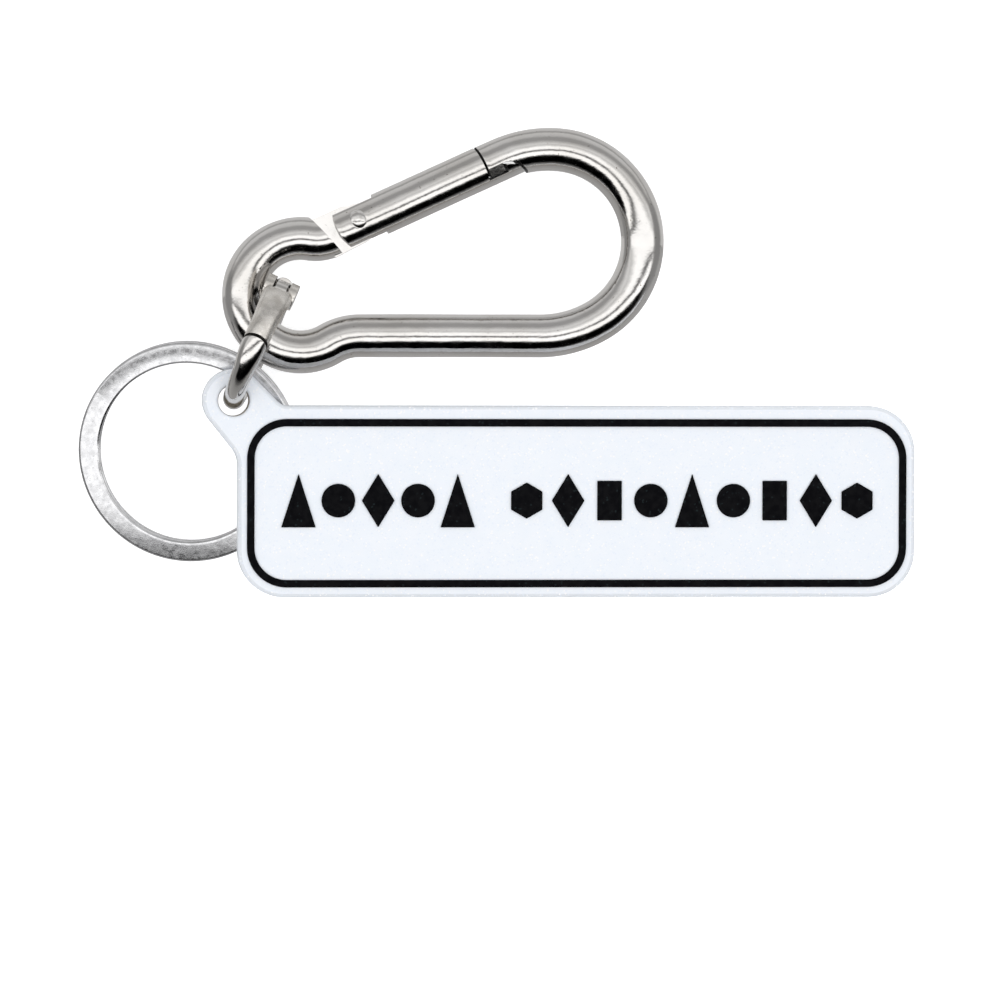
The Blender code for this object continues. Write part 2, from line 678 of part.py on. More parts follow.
def build_tag(frame, acrylic, ink):
    """The acrylic plate with its raised printed frame and row of plain geometric marks."""
    slab = prism(without_doubles(tag_outline(), True), 0, TAG_THICKNESS)
    plate = make_object("tag_plate", slab, acrylic, frame)
    hole = cylinder(TAG_HOLE_R, Vector((0, 0, -MM)), Vector((0, 0, TAG_THICKNESS + MM)), 28)
    combine(plate, make_object("cut_tag_hole", hole, parent=frame))
    low = TAG_THICKNESS + PRINT_LIFT
    high = low + PRINT_HEIGHT
    left = TAG_LEFT + FRAME_INSET
    right = TAG_RIGHT - FRAME_INSET
    top = TAG_TOP - FRAME_INSET_Y[0]
    bottom = TAG_BOTTOM + FRAME_INSET_Y[1]
    outer = rounded_box(left, right, bottom, top, FRAME_CORNER_R)
    line = FRAME_LINE
    inner = rounded_box(left + line, right - line, bottom + line, top - line, FRAME_CORNER_R - line)
    make_object("tag_printed_frame", ring_prism(outer, inner, low, high), ink, frame)
    number = 1
    for (count, first, pitch), shapes in zip(MARK_GROUPS, MARK_PATTERNS):
        for i in range(count):
            width, height = MARK_SIZES[shapes[i]]
            centre = Vector((first + pitch * i, MARK_ROW_Y))
            outline = [Vector((p.x * width, p.y * height)) + centre for p in shapes[i]()]
            make_object(f"tag_mark_{number:02d}", prism(outline, low, high), ink, frame)
            number += 1


def main():
    clear_scene()
    nickel = make_material("polished_nickel", (0.63, 0.61, 0.59), 0.18, 1.0)
    satin_nickel = make_material("satin_nickel", (0.58, 0.56, 0.53), 0.34, 1.0)
    ring_steel = make_material("brushed_ring_steel", (0.60, 0.60, 0.60), 0.30, 1.0)
    rivet_metal = make_material("rivet_metal", (0.68, 0.66, 0.64), 0.22, 1.0)
    spring_steel = make_material("spring_steel", (0.35, 0.34, 0.33), 0.35, 1.0)
    acrylic = make_material("glitter_acrylic", (0.86, 0.89, 0.95), 0.25, 0.0)
    ink = make_material("black_ink", (0.01, 0.01, 0.012), 0.4, 0.0)

    link_turn = Matrix.Rotation(LINK_HEADING, 4, "Z") @ Matrix.Rotation(LINK_LEAN, 4, "X")
    link_matrix = Matrix.Translation(LINK_PLACE) @ link_turn
    link_frame = make_empty("link_frame", link_matrix)
    pin_matrix = Matrix.Translation(upright([LINK_PIN])[0])
    link_gate_frame = make_empty("link_gate_frame", pin_matrix, link_frame)

    descent = Vector((-sin(CARABINER_DESCENT), cos(CARABINER_DESCENT), 0))
    tilt = Matrix.Rotation(CARABINER_TILT, 4, descent)
    contact = Vector((EYE_R * cos(LINK_CONTACT_ANGLE), EYE_R * sin(LINK_CONTACT_ANGLE), 0))
    eye_place = link_matrix @ CARABINER_IN_LINK - tilt @ contact
    carabiner_frame = make_empty("carabiner_frame", Matrix.Translation(eye_place) @ tilt)
    turn = Matrix.Rotation(GATE_ANGLE, 4, "Z")
    axis_matrix = Matrix.Translation(flat([GATE_FOOT])[0]) @ turn
    axis_frame = make_empty("gate_axis_frame", axis_matrix, carabiner_frame)
    rivet_matrix = Matrix.Translation((RIVET_S, RIVET_T, 0))
    gate_frame = make_empty("gate_rivet_frame", rivet_matrix, axis_frame)

    ring_turn = Matrix.Rotation(RING_RISE_HEADING, 4, "Z") @ Matrix.Rotation(-RING_TILT, 4, "Y")
    ring_frame = make_empty("split_ring_frame", Matrix.Translation(RING_PLACE) @ ring_turn)
    tag_turn = Matrix.Rotation(TAG_PITCH, 4, "Y") @ Matrix.Rotation(TAG_ROLL, 4, "X")
    tag_frame = make_empty("tag_frame", Matrix.Translation(TAG_PLACE) @ tag_turn)

    build_carabiner(carabiner_frame, axis_frame, gate_frame, nickel, rivet_metal, spring_steel)
    build_link(link_frame, link_gate_frame, nickel, satin_nickel, spring_steel)
    build_split_ring(ring_frame, ring_steel)
    build_tag(tag_frame, acrylic, ink)
    bpy.context.view_layer.update()


main()
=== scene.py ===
"""The looks of a carabiner keyring: polished hook, cast link gate, split ring and glitter acrylic tag.

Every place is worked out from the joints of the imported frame, and every size below is in millimetres
times MM. The pieces are finer versions of the frame's solids, with small bevels, waves and wear.
"""

import json
from math import acos, atan2, ceil, cos, hypot, pi, radians, sin, sqrt, tan

import bmesh
import bpy
from mathutils import Matrix, Vector, noise


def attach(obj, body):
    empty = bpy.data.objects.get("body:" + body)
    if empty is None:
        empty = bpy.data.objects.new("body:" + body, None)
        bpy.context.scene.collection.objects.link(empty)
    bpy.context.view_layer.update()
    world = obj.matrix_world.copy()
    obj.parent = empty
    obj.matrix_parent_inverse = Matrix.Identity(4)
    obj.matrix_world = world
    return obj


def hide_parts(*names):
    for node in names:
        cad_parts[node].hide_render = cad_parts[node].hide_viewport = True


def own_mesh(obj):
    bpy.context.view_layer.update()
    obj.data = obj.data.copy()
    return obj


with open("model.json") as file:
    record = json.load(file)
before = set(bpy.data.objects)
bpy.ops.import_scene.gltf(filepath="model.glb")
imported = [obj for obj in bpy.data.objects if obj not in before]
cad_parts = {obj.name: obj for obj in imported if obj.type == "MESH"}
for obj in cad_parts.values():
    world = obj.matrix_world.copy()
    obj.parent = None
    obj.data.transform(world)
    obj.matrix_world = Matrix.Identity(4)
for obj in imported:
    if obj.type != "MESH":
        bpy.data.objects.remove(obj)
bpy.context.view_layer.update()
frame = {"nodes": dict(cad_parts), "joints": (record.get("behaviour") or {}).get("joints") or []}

MM = 0.001
GAP = 0.3 * MM

# Carabiner, drawn in its own plane with the middle of the small eye at the origin.
BAR_R = 2.5 * MM
EYE_R = 6.6 * MM
BOW_R = 10.7 * MM
BOW_CENTRE = Vector((29.17, 6.35)) * MM
SPINE_Y = -4.69 * MM
GATE_ANGLE = radians(24.6)
GATE_LINE_FROM_BOW = 11.1 * MM
NECK_R = 6.74 * MM
HINGE_BEND_R = 4.5 * MM
NOSE_ARC_START = radians(85)
LOWER_ARC_START = radians(-60)

# Gate: s runs along its axis, t square to it and away from the inside of the bow.
RIVET_S = -19.49 * MM
RIVET_T = 0.6 * MM
TONGUE_HALF = 1.0 * MM
TONGUE_TOP = 2.65 * MM
TONGUE_HEAD_R = 1.75 * MM
TONGUE_FLAT_END = -20.6 * MM
TONGUE_BACK = -24.6 * MM
TONGUE_CAM_R = 2.0 * MM
CAM_OFFSET = Vector((-0.1, -0.9)) * MM
SHOULDER = (Vector((-24.41, 2.82)) * MM, Vector((-22.78, -2.15)) * MM)
SHOULDER_REACH = 1.5 * MM
EAR_END_R = 5.5 * MM
EAR_END_S = -22.2 * MM
SLOT_END_S = -16.85 * MM
BORE_R = 1.15 * MM
BORE_T = -0.45 * MM
BORE_END_S = -8.6 * MM
COIL_START_S = -14.99 * MM
COIL_R = 0.65 * MM
COIL_WIRE_R = 0.17 * MM
COIL_TURNS = 8
COIL_STEPS = 24
COIL_END_GAP = 0.15 * MM
RIVET_SINK = 0.3 * MM
RIVET_SHAFT_R = 0.75 * MM
RIVET_HEAD_R = 1.3 * MM
RIVET_HEAD_BASE = 1.75 * MM
RIVET_HEAD_TOP = 2.72 * MM

# Latch: the gate's hooked end holds the block that hangs from the nose.
SEAM_S = -3.72 * MM
SEAM_BULGE = 0.1 * MM
BLOCK_LEFT = SEAM_S + SEAM_BULGE + GAP
BLOCK_RIGHT = -1.5 * MM
BLOCK_BOTTOM = -1.5 * MM
BLOCK_FACE_TILT = radians(21)
BLOCK_FACE_LEVEL = 1.84 * MM
BLOCK_FACE_SPAN = (BLOCK_LEFT - 0.1 * MM, BLOCK_RIGHT + 0.25 * MM)
POCKET_TOP = -0.5 * MM
LIP_RIGHT = Vector((0.1, -1.4)) * MM
LIP_TOE = Vector((0.75, -2.6)) * MM
LIP_CLEARANCE = 0.25 * MM
NOSE_LEAD = 1.0 * MM
LATCH_LEAN = (radians(5), radians(-6.5))
LATCH_LEVEL = 2.0 * MM

# Link, drawn upright: x along the surface, z up, with the middle of the ring at the origin.
LINK_R = 7.05 * MM
LINK_WIRE_R = 1.2 * MM
LINK_HINGE = radians(24)
LINK_SHOULDER = radians(10)
LINK_SEAM_TOP = Vector((0.62, 8.3)) * MM
LINK_SEAM_SLOPE = radians(50)
LINK_SEAM_GAP = 0.3 * MM
LINK_SWELL_HALF = 1.5 * MM
LINK_SWELL_START = radians(76)
LINK_SWELL_END = radians(128)
LINK_TONGUE_HALF = 0.68 * MM
LINK_TONGUE_R = 1.25 * MM
LINK_EAR_R = 1.55 * MM
LINK_EAR_INNER = 0.95 * MM
LINK_EAR_OUTER = 1.9 * MM
LINK_SLOT_END = 1.6 * MM
LINK_PIN_R = 0.35 * MM

# Split ring.
RING_OUTER_R = 12.9 * MM
RING_WIDTH = 2.4 * MM
TURN_PITCH = 1.0 * MM
RING_OUTER_EDGE = ((1.2, 0.2), (1.17, 0.27), (0.98, 0.40), (0.9, 0.425))
RING_INNER_EDGE = ((-0.72, 0.425), (-0.98, 0.401), (-1.17, 0.255), (-1.2, 0.2))
RING_UPPER_EDGE = RING_OUTER_EDGE + RING_INNER_EDGE
WIRE_END_GAP = 0.15 * MM
CROSSING_HALF = radians(18)
CROSSING_ANGLE = radians(-90)
RING_CONE = radians(4.1)
RING_WAVE = radians(2.7)
RING_WAVE_ANGLE = radians(35)

# Tag, drawn from the middle of its hole on its underside.
TAG_THICKNESS = 3.0 * MM
TAG_HOLE_R = 1.78 * MM
TAG_EAR_R = 3.6 * MM
TAG_LEFT = 0.5 * MM
TAG_RIGHT = 79.37 * MM
TAG_TOP = -0.58 * MM
TAG_BOTTOM = -22.79 * MM
TAG_CORNER_R = 5.4 * MM
TAG_EDGE_R = 0.42 * MM
EAR_FOOT_RIGHT = 5.6 * MM
EAR_FOOT_LEFT = -6.4 * MM
FOOT_FILLETS = (1.8 * MM, 3.2 * MM)
FRAME_INSET = 1.04 * MM
FRAME_INSET_Y = (1.53 * MM, 1.17 * MM)
FRAME_LINE = 0.87 * MM
FRAME_CORNER_R = 4.6 * MM
PRINT_HEIGHT = 0.25 * MM
PRINT_LIFT = 0.03 * MM
PRINT_EDGE_R = 0.07 * MM
MARK_ROW_Y = -11.56 * MM
MARK_HEIGHT = 6.2 * MM
MARK_GROUPS = ((5, 7.5 * MM, 4.62 * MM), (9, 34.0 * MM, 4.82 * MM))

FINE = radians(2.5)
BAR_SIDES = 64
WIRE_SIDES = 44
BAR_STEP = 0.5 * MM
TOUCHING = 0.01 * MM
PIN_PLAY = 0.05 * MM
RIVET_PLAY = 0.1 * MM
TONGUE_PLAY = 0.25 * MM
OVERCUT = 0.5 * MM
LINK_CUT_REACH = 3 * MM
LINK_ROOT_BACK = -2.7 * MM
LINK_ROOT_DROP = 0.85 * MM

# Softened edges, and the slow unevenness of the bars: depth, wavelength and seed.
BAR_EDGE, GATE_EDGE, RIVET_EDGE = 0.07 * MM, 0.06 * MM, 0.05 * MM
LINK_EDGE, CAST_EDGE, PIN_EDGE = 0.05 * MM, 0.15 * MM, 0.02 * MM
BAR_WAVER = (0.05 * MM, 9 * MM, 3.0)
GATE_WAVER = (0.03 * MM, 8 * MM, 5.0)
LINK_WAVER = (0.035 * MM, 4 * MM, 8.0)
FAR = 12 * MM


# ---------------------------------------------------------------- places taken from the frame

JOINTS = {joint["name"]: joint for joint in frame["joints"]}
WORLD_Y = Vector((0, 1, 0))
WORLD_Z = Vector((0, 0, 1))


def joint_place(name):
    return Vector(JOINTS[name]["pos_m"])


def joint_axis(name):
    return Vector(JOINTS[name]["axis"]).normalized()


def basis(origin, x, z):
    """A frame from its origin, x direction and z direction."""
    y = z.cross(x).normalized()
    x = y.cross(z)
    turn = Matrix((x, y, z)).transposed().to_4x4()
    return Matrix.Translation(origin) @ turn


GATE_DIR = Vector((cos(GATE_ANGLE), sin(GATE_ANGLE)))
GATE_OUT = Vector((-sin(GATE_ANGLE), cos(GATE_ANGLE)))
GATE_FOOT = BOW_CENTRE + GATE_OUT * GATE_LINE_FROM_BOW
RIVET_FRAME = basis(joint_place("gate_hinge"), joint_axis("plunger_slide"), -joint_axis("gate_hinge"))
AXIS_FRAME = RIVET_FRAME @ Matrix.Translation((-RIVET_S, -RIVET_T, 0))
CARABINER_FRAME = AXIS_FRAME @ Matrix.Rotation(-GATE_ANGLE, 4, "Z")
CARABINER_FRAME = CARABINER_FRAME @ Matrix.Translation((-GATE_FOOT.x, -GATE_FOOT.y, 0))

LINK_OUT = Vector((cos(LINK_HINGE), sin(LINK_HINGE)))
LINK_TANGENT = Vector((-LINK_OUT.y, LINK_OUT.x))
LINK_PIN = LINK_OUT * LINK_R
LINK_ACROSS = -joint_axis("link_gate_hinge")
LINK_ALONG = LINK_ACROSS.cross(WORLD_Z).normalized()
LINK_FRAME = basis(joint_place("link_gate_hinge"), LINK_ALONG, LINK_ALONG.cross(LINK_ACROSS))
LINK_FRAME = LINK_FRAME @ Matrix.Translation((-LINK_PIN.x, 0, -LINK_PIN.y))

RING_AXIS = joint_axis("split_ring_spin")
RING_FRAME = basis(joint_place("split_ring_spin"), WORLD_Z - RING_AXIS * RING_AXIS.z, RING_AXIS)
TAG_AXIS = joint_axis("tag_swing")
TAG_FRAME = basis(joint_place("tag_swing"), WORLD_Y.cross(TAG_AXIS), TAG_AXIS)


# ---------------------------------------------------------------- mesh tools


def arc(centre, radius, start, end, step=FINE):
    """Points on a circle from one angle to another, both ends included."""
    count = max(1, ceil(abs(end - start) / step))
    angles = [start + (end - start) * i / count for i in range(count + 1)]
    return [Vector((centre[0] + radius * cos(a), centre[1] + radius * sin(a))) for a in angles]


def without_doubles(points, closed=False):
    kept = []
    for point in points:
        if not kept or (point - kept[-1]).length > TOUCHING:
            kept.append(point)
    if closed and (kept[0] - kept[-1]).length < TOUCHING:
        kept.pop()
    return kept


def evenly(points, step):
    """The same line with extra points, so that no stretch is longer than step."""
    spaced = [points[0]]
    for start, end in zip(points, points[1:]):
        count = max(1, ceil((end - start).length / step))
        spaced += [start.lerp(end, i / count) for i in range(1, count + 1)]
    return spaced


def flat(points):
    return [Vector((p[0], p[1], 0)) for p in points]


def upright(points):
    return [Vector((p[0], 0, p[1])) for p in points]


def sweep(bm, centres, section_at, up=WORLD_Z):
    """Carry a closed section along open centres; section_at(i) gives (side, up) offsets."""
    rings = []
    last = len(centres) - 1
    for i, centre in enumerate(centres):
        ahead = centres[min(i + 1, last)] - centre
        behind = centre - centres[max(i - 1, 0)]
        along = (ahead.normalized() + behind.normalized()).normalized()
        side = along.cross(up).normalized()
        above = side.cross(along).normalized()
        rings.append([bm.verts.new(centre + side * a + above * b) for a, b in section_at(i)])
    for first, second in zip(rings, rings[1:]):
        for j in range(len(first)):
            k = (j + 1) % len(first)
            bm.faces.new((first[j], first[k], second[k], second[j]))
    bm.faces.new(rings[0])
    bm.faces.new(rings[-1])


def circle_section(radius, sides):
    return [(radius * cos(2 * pi * k / sides), radius * sin(2 * pi * k / sides)) for k in range(sides)]


def tube(centres, radius, sides, up=WORLD_Z):
    bm = bmesh.new()
    section = circle_section(radius, sides)
    sweep(bm, centres, lambda i: section, up)
    return bm


def prism(outline, low, high, upright_plane=False):
    """A flat outline given thickness, along z, or along y where the outline stands upright."""
    bm = bmesh.new()
    spread = upright if upright_plane else flat
    offset = Vector((0, 1, 0)) if upright_plane else WORLD_Z
    base = [bm.verts.new(p + offset * low) for p in spread(outline)]
    face = bm.faces.new(base)
    grown = bmesh.ops.extrude_face_region(bm, geom=[face])
    lifted = [v for v in grown["geom"] if isinstance(v, bmesh.types.BMVert)]
    bmesh.ops.translate(bm, verts=lifted, vec=offset * (high - low))
    return bm


def leaned(bm):
    """Slant a cutter along and across the gate, so that no latch gap can be seen through."""
    for vertex in bm.verts:
        depth = vertex.co.z - LATCH_LEVEL
        vertex.co.x += depth * tan(LATCH_LEAN[0])
        vertex.co.y += depth * tan(LATCH_LEAN[1])
    return bm


def turned(profile, axis, segments, start=Vector((0, 0, 0))):
    """Turn a profile of (radius, height) about an axis through start."""
    bm = bmesh.new()
    axis = axis.normalized()
    spin_from = axis.orthogonal().normalized()
    across = axis.cross(spin_from)
    spokes = [spin_from * a + across * b for a, b in circle_section(1.0, segments)]
    rings = []
    for radius, height in profile:
        centre = start + axis * height
        if radius < 1e-7:
            rings.append([bm.verts.new(centre)])
        else:
            rings.append([bm.verts.new(centre + spoke * radius) for spoke in spokes])
    for first, second in zip(rings, rings[1:]):
        for k in range(segments):
            n = (k + 1) % segments
            if len(first) == 1:
                bm.faces.new((first[0], second[k], second[n]))
            elif len(second) == 1:
                bm.faces.new((first[k], first[n], second[0]))
            else:
                bm.faces.new((first[k], first[n], second[n], second[k]))
    for ring in (rings[0], rings[-1]):
        if len(ring) > 1:
            bm.faces.new(ring)
    return bm


def cylinder(radius, start, end, segments=64):
    axis = end - start
    return turned([(radius, 0), (radius, axis.length)], axis, segments, start)


def waver(bm, height, length, seed):
    """Push the surface in and out in slow waves, as hand bending and polishing leave it."""
    bm.normal_update()
    offset = Vector((seed, seed * 0.37, -seed))
    for vertex in bm.verts:
        vertex.co += vertex.normal * noise.noise(vertex.co / length + offset) * height


def make_object(name, bm, matrix, material=None):
    """Turn a bmesh into a named object; a cutter with a material leaves it on the walls it cuts."""
    bmesh.ops.recalc_face_normals(bm, faces=bm.faces)
    mesh = bpy.data.meshes.new(name)
    bm.to_mesh(mesh)
    bm.free()
    item = bpy.data.objects.new(name, mesh)
    bpy.context.scene.collection.objects.link(item)
    item.matrix_world = matrix
    item.hide_render = name.startswith(("cut_", "add_"))
    if material is not None:
        mesh.materials.append(material)
    return item


def settle(item):
    """Make the modifiers' result the object's own mesh."""
    graph = bpy.context.evaluated_depsgraph_get()
    mesh = bpy.data.meshes.new_from_object(item.evaluated_get(graph))
    old = item.data
    item.modifiers.clear()
    item.data = mesh
    mesh.name = item.name
    bpy.data.meshes.remove(old)


def carve(item, *steps):
    """Cut with, or add, each (operation, cutter) in turn; the cutters are used up."""
    for operation, cutter in steps:
        modifier = item.modifiers.new(cutter.name, "BOOLEAN")
        modifier.operation = operation
        modifier.solver = "EXACT"
        modifier.material_mode = "TRANSFER"
        modifier.object = cutter
    settle(item)
    for operation, cutter in steps:
        bpy.data.objects.remove(cutter, do_unlink=True)


def soften(item, width, segments=3, limit=radians(35), smooth=radians(50)):
    """Round the edges a little and shade the piece smooth."""
    bevel = item.modifiers.new("soft edges", "BEVEL")
    bevel.width = width
    bevel.segments = segments
    bevel.limit_method = "ANGLE"
    bevel.angle_limit = limit
    bevel.use_clamp_overlap = True
    settle(item)
    item.data.shade_smooth()
    item.data.set_sharp_from_angle(angle=smooth)
    weighted = item.modifiers.new("even shading", "WEIGHTED_NORMAL")
    weighted.keep_sharp = True


def install(item, body, slot, *nodes):
    """Tie a finished piece to its body and hide the solids it stands for. The slot argument is not
    used.
    """
    item.data.transform(item.matrix_world)
    item.matrix_world = Matrix.Identity(4)
    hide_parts(*nodes)
    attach(item, body)


# ---------------------------------------------------------------- materials


class Surface:
    """A material being built: a Principled shader and the nodes in front of it."""

    def __init__(self, name, colour, metallic, roughness):
        self.material = bpy.data.materials.new(name)
        self.material.use_nodes = True
        self.tree = self.material.node_tree
        self.shader = self.tree.nodes["Principled BSDF"]
        self.shader.inputs["Base Color"].default_value = (*colour, 1)
        self.shader.inputs["Metallic"].default_value = metallic
        self.shader.inputs["Roughness"].default_value = roughness
        self.place = self.add("ShaderNodeTexCoord").outputs["Object"]

    def add(self, kind, **settings):
        node = self.tree.nodes.new(kind)
        for key, value in settings.items():
            setattr(node, key, value)
        return node

    def join(self, output, target):
        self.tree.links.new(output, target)

    def stretched(self, scale):
        """Object coordinates stretched by a factor on each axis."""
        mapping = self.add("ShaderNodeMapping")
        mapping.inputs["Scale"].default_value = scale
        self.join(self.place, mapping.inputs["Vector"])
        return mapping.outputs["Vector"]

    def cloud(self, size, detail=3.0, rough=0.5, place=None):
        """Noise with features of about the given size in metres."""
        texture = self.add("ShaderNodeTexNoise")
        texture.inputs["Scale"].default_value = 1 / size
        texture.inputs["Detail"].default_value = detail
        texture.inputs["Roughness"].default_value = rough
        self.join(place or self.place, texture.inputs["Vector"])
        return texture.outputs["Fac"]

    def cells(self, size):
        """Random cells of the given size: a random colour for each."""
        texture = self.add("ShaderNodeTexVoronoi")
        texture.inputs["Scale"].default_value = 1 / size
        self.join(self.place, texture.inputs["Vector"])
        split = self.add("ShaderNodeSeparateColor")
        self.join(texture.outputs["Color"], split.inputs["Color"])
        return split

    def spread(self, value, low, high, to_low, to_high):
        """A value mapped from one range to another and kept inside it."""
        node = self.add("ShaderNodeMapRange")
        node.interpolation_type = "SMOOTHSTEP"
        limits = {"From Min": low, "From Max": high, "To Min": to_low, "To Max": to_high}
        for key, number in limits.items():
            node.inputs[key].default_value = number
        self.join(value, node.inputs["Value"])
        return node.outputs["Result"]

    def blend(self, share, first, second):
        """A colour between two, each an output or a plain colour."""
        node = self.add("ShaderNodeMix", data_type="RGBA")
        self.join(share, node.inputs["Factor"])
        for socket, colour in ((node.inputs[6], first), (node.inputs[7], second)):
            if isinstance(colour, tuple):
                socket.default_value = (*colour, 1)
            else:
                self.join(colour, socket)
        return node.outputs[2]

    def bump(self, height, distance, strength=1.0, under=None):
        node = self.add("ShaderNodeBump")
        node.inputs["Distance"].default_value = distance
        node.inputs["Strength"].default_value = strength
        self.join(height, node.inputs["Height"])
        if under is not None:
            self.join(under, node.inputs["Normal"])
        return node.outputs["Normal"]

    def finish(self, colour=None, roughness=None, normal=None):
        for name, output in (("Base Color", colour), ("Roughness", roughness), ("Normal", normal)):
            if output is not None:
                self.join(output, self.shader.inputs[name])
        return self.material


def polished_nickel():
    """Plated bar: mirror-like, faintly warm, with soft ripples, hairlines and a few pits."""
    surface = Surface("polished_nickel", (0.66, 0.64, 0.62), 1.0, 0.1)
    tone = surface.spread(surface.cloud(6 * MM), 0.3, 0.7, 0.0, 1.0)
    pits = surface.spread(surface.cloud(0.35 * MM, 2.0), 0.70, 0.76, 0.0, 1.0)
    colour = surface.blend(tone, (0.68, 0.665, 0.65), (0.62, 0.60, 0.575))
    colour = surface.blend(pits, colour, (0.30, 0.28, 0.25))
    roughness = surface.spread(surface.cloud(1.2 * MM, 4.0, 0.6), 0.3, 0.75, 0.055, 0.16)
    ripple = surface.bump(surface.cloud(3.0 * MM, 2.0), 0.06 * MM)
    grain = surface.bump(surface.cloud(0.22 * MM, 3.0), 0.006 * MM, under=ripple)
    return surface.finish(colour, roughness, grain)


def satin_nickel():
    """Die-cast gate of the link: soft warm sheen with a fine cast skin."""
    surface = Surface("satin_nickel", (0.72, 0.69, 0.65), 1.0, 0.27)
    tone = surface.spread(surface.cloud(1.6 * MM, 4.0), 0.35, 0.65, 0.0, 1.0)
    colour = surface.blend(tone, (0.78, 0.75, 0.71), (0.62, 0.59, 0.55))
    roughness = surface.spread(surface.cloud(0.5 * MM), 0.3, 0.7, 0.2, 0.36)
    skin = surface.bump(surface.cloud(0.8 * MM, 3.0), 0.03 * MM)
    grain = surface.bump(surface.cloud(0.12 * MM, 2.0), 0.006 * MM, under=skin)
    return surface.finish(colour, roughness, grain)


def brushed_ring_steel():
    """Flat ring wire: tumbled steel, half bright, with fine grain and small scuffs."""
    surface = Surface("brushed_ring_steel", (0.68, 0.68, 0.68), 1.0, 0.2)
    tone = surface.spread(surface.cloud(0.9 * MM, 4.0, 0.6), 0.35, 0.68, 0.0, 1.0)
    colour = surface.blend(tone, (0.70, 0.70, 0.71), (0.58, 0.58, 0.59))
    scuffs = surface.spread(surface.cloud(0.2 * MM, 3.0), 0.60, 0.74, 0.0, 1.0)
    colour = surface.blend(scuffs, colour, (0.45, 0.45, 0.46))
    roughness = surface.spread(surface.cloud(0.6 * MM, 3.0), 0.3, 0.7, 0.12, 0.24)
    dents = surface.bump(surface.cloud(1.6 * MM, 2.0), 0.012 * MM)
    grain = surface.bump(surface.cloud(0.16 * MM, 3.0), 0.004 * MM, under=dents)
    return surface.finish(colour, roughness, grain)


def rivet_metal():
    """Pressed rivet and plunger: bright with a slightly dimpled head."""
    surface = Surface("rivet_metal", (0.72, 0.70, 0.68), 1.0, 0.16)
    tone = surface.spread(surface.cloud(0.6 * MM), 0.35, 0.65, 0.0, 1.0)
    colour = surface.blend(tone, (0.76, 0.745, 0.725), (0.64, 0.62, 0.60))
    roughness = surface.spread(surface.cloud(0.3 * MM), 0.3, 0.7, 0.1, 0.24)
    dimples = surface.bump(surface.cloud(0.5 * MM, 2.0), 0.03 * MM)
    return surface.finish(colour, roughness, dimples)


def painted_latch_shade():
    """Walls cut inside the latch and the link's seam and slot, unpolished, with painted shade: nearly
    black with a mottled tone, standing in for the deep shade in the gaps.
    """
    surface = Surface("painted_latch_shade", (0.02, 0.019, 0.018), 0.3, 0.55)
    tone = surface.spread(surface.cloud(0.4 * MM), 0.35, 0.65, 0.0, 1.0)
    colour = surface.blend(tone, (0.012, 0.011, 0.010), (0.05, 0.047, 0.044))
    roughness = surface.spread(surface.cloud(0.2 * MM), 0.3, 0.7, 0.4, 0.7)
    crust = surface.bump(surface.cloud(0.15 * MM, 3.0), 0.01 * MM)
    return surface.finish(colour, roughness, crust)


def spring_steel():
    """Oiled spring wire: dark, half bright, with drawn lines."""
    surface = Surface("spring_steel", (0.34, 0.33, 0.32), 1.0, 0.3)
    tone = surface.spread(surface.cloud(0.3 * MM), 0.35, 0.65, 0.0, 1.0)
    colour = surface.blend(tone, (0.40, 0.39, 0.37), (0.25, 0.24, 0.23))
    roughness = surface.spread(surface.cloud(0.2 * MM), 0.3, 0.7, 0.22, 0.42)
    lines = surface.bump(surface.cloud(0.1 * MM, 2.0), 0.006 * MM)
    return surface.finish(colour, roughness, lines)


def glitter_acrylic(name="glitter_acrylic", shade=1.0):
    """Cold white acrylic with fine flakes: most of them faint, a few that catch the light."""
    surface = Surface(name, (0.88, 0.925, 0.985), 0.0, 0.24)
    surface.shader.inputs["IOR"].default_value = 1.49
    surface.shader.inputs["Specular IOR Level"].default_value = 0.3
    tone = surface.spread(surface.cloud(2.2 * MM, 4.0), 0.35, 0.65, 0.0, 1.0)
    # A shade below 1 gives a darker copy of the acrylic: painted shade for the tag's edges.
    tones = [tuple(shade * c for c in tint) for tint in ((0.878, 0.92, 0.982), (0.895, 0.93, 0.985))]
    colour = surface.blend(tone, *tones)
    flakes = surface.cells(0.17 * MM)
    bright = surface.spread(flakes.outputs["Red"], 0.95, 0.98, 0.0, 0.9)
    dim = surface.spread(flakes.outputs["Green"], 0.90, 0.96, 0.0, 0.6)
    colour = surface.blend(dim, colour, (0.82, 0.875, 0.965))
    colour = surface.blend(bright, colour, (0.98, 0.985, 1.0))
    roughness = surface.spread(flakes.outputs["Red"], 0.95, 0.98, 0.26, 0.10)
    facets = surface.bump(flakes.outputs["Blue"], 0.006 * MM)
    polish = surface.bump(surface.cloud(5 * MM, 2.0), 0.02 * MM, under=facets)
    return surface.finish(colour, roughness, polish)


def cut_edge_acrylic():
    """The laser-cut wall of the tag's hole, with painted shade: a dull beige-grey standing in for the
    shaded depth of the hole, with fine upright lines.
    """
    surface = Surface("cut_edge_acrylic", (0.46, 0.42, 0.36), 0.0, 0.35)
    tone = surface.spread(surface.cloud(0.5 * MM, 4.0), 0.35, 0.65, 0.0, 1.0)
    colour = surface.blend(tone, (0.50, 0.46, 0.40), (0.36, 0.32, 0.26))
    lines = surface.cloud(0.12 * MM, 2.0, place=surface.stretched((1, 1, 0.1)))
    roughness = surface.spread(lines, 0.3, 0.7, 0.28, 0.5)
    return surface.finish(colour, roughness, surface.bump(lines, 0.02 * MM))


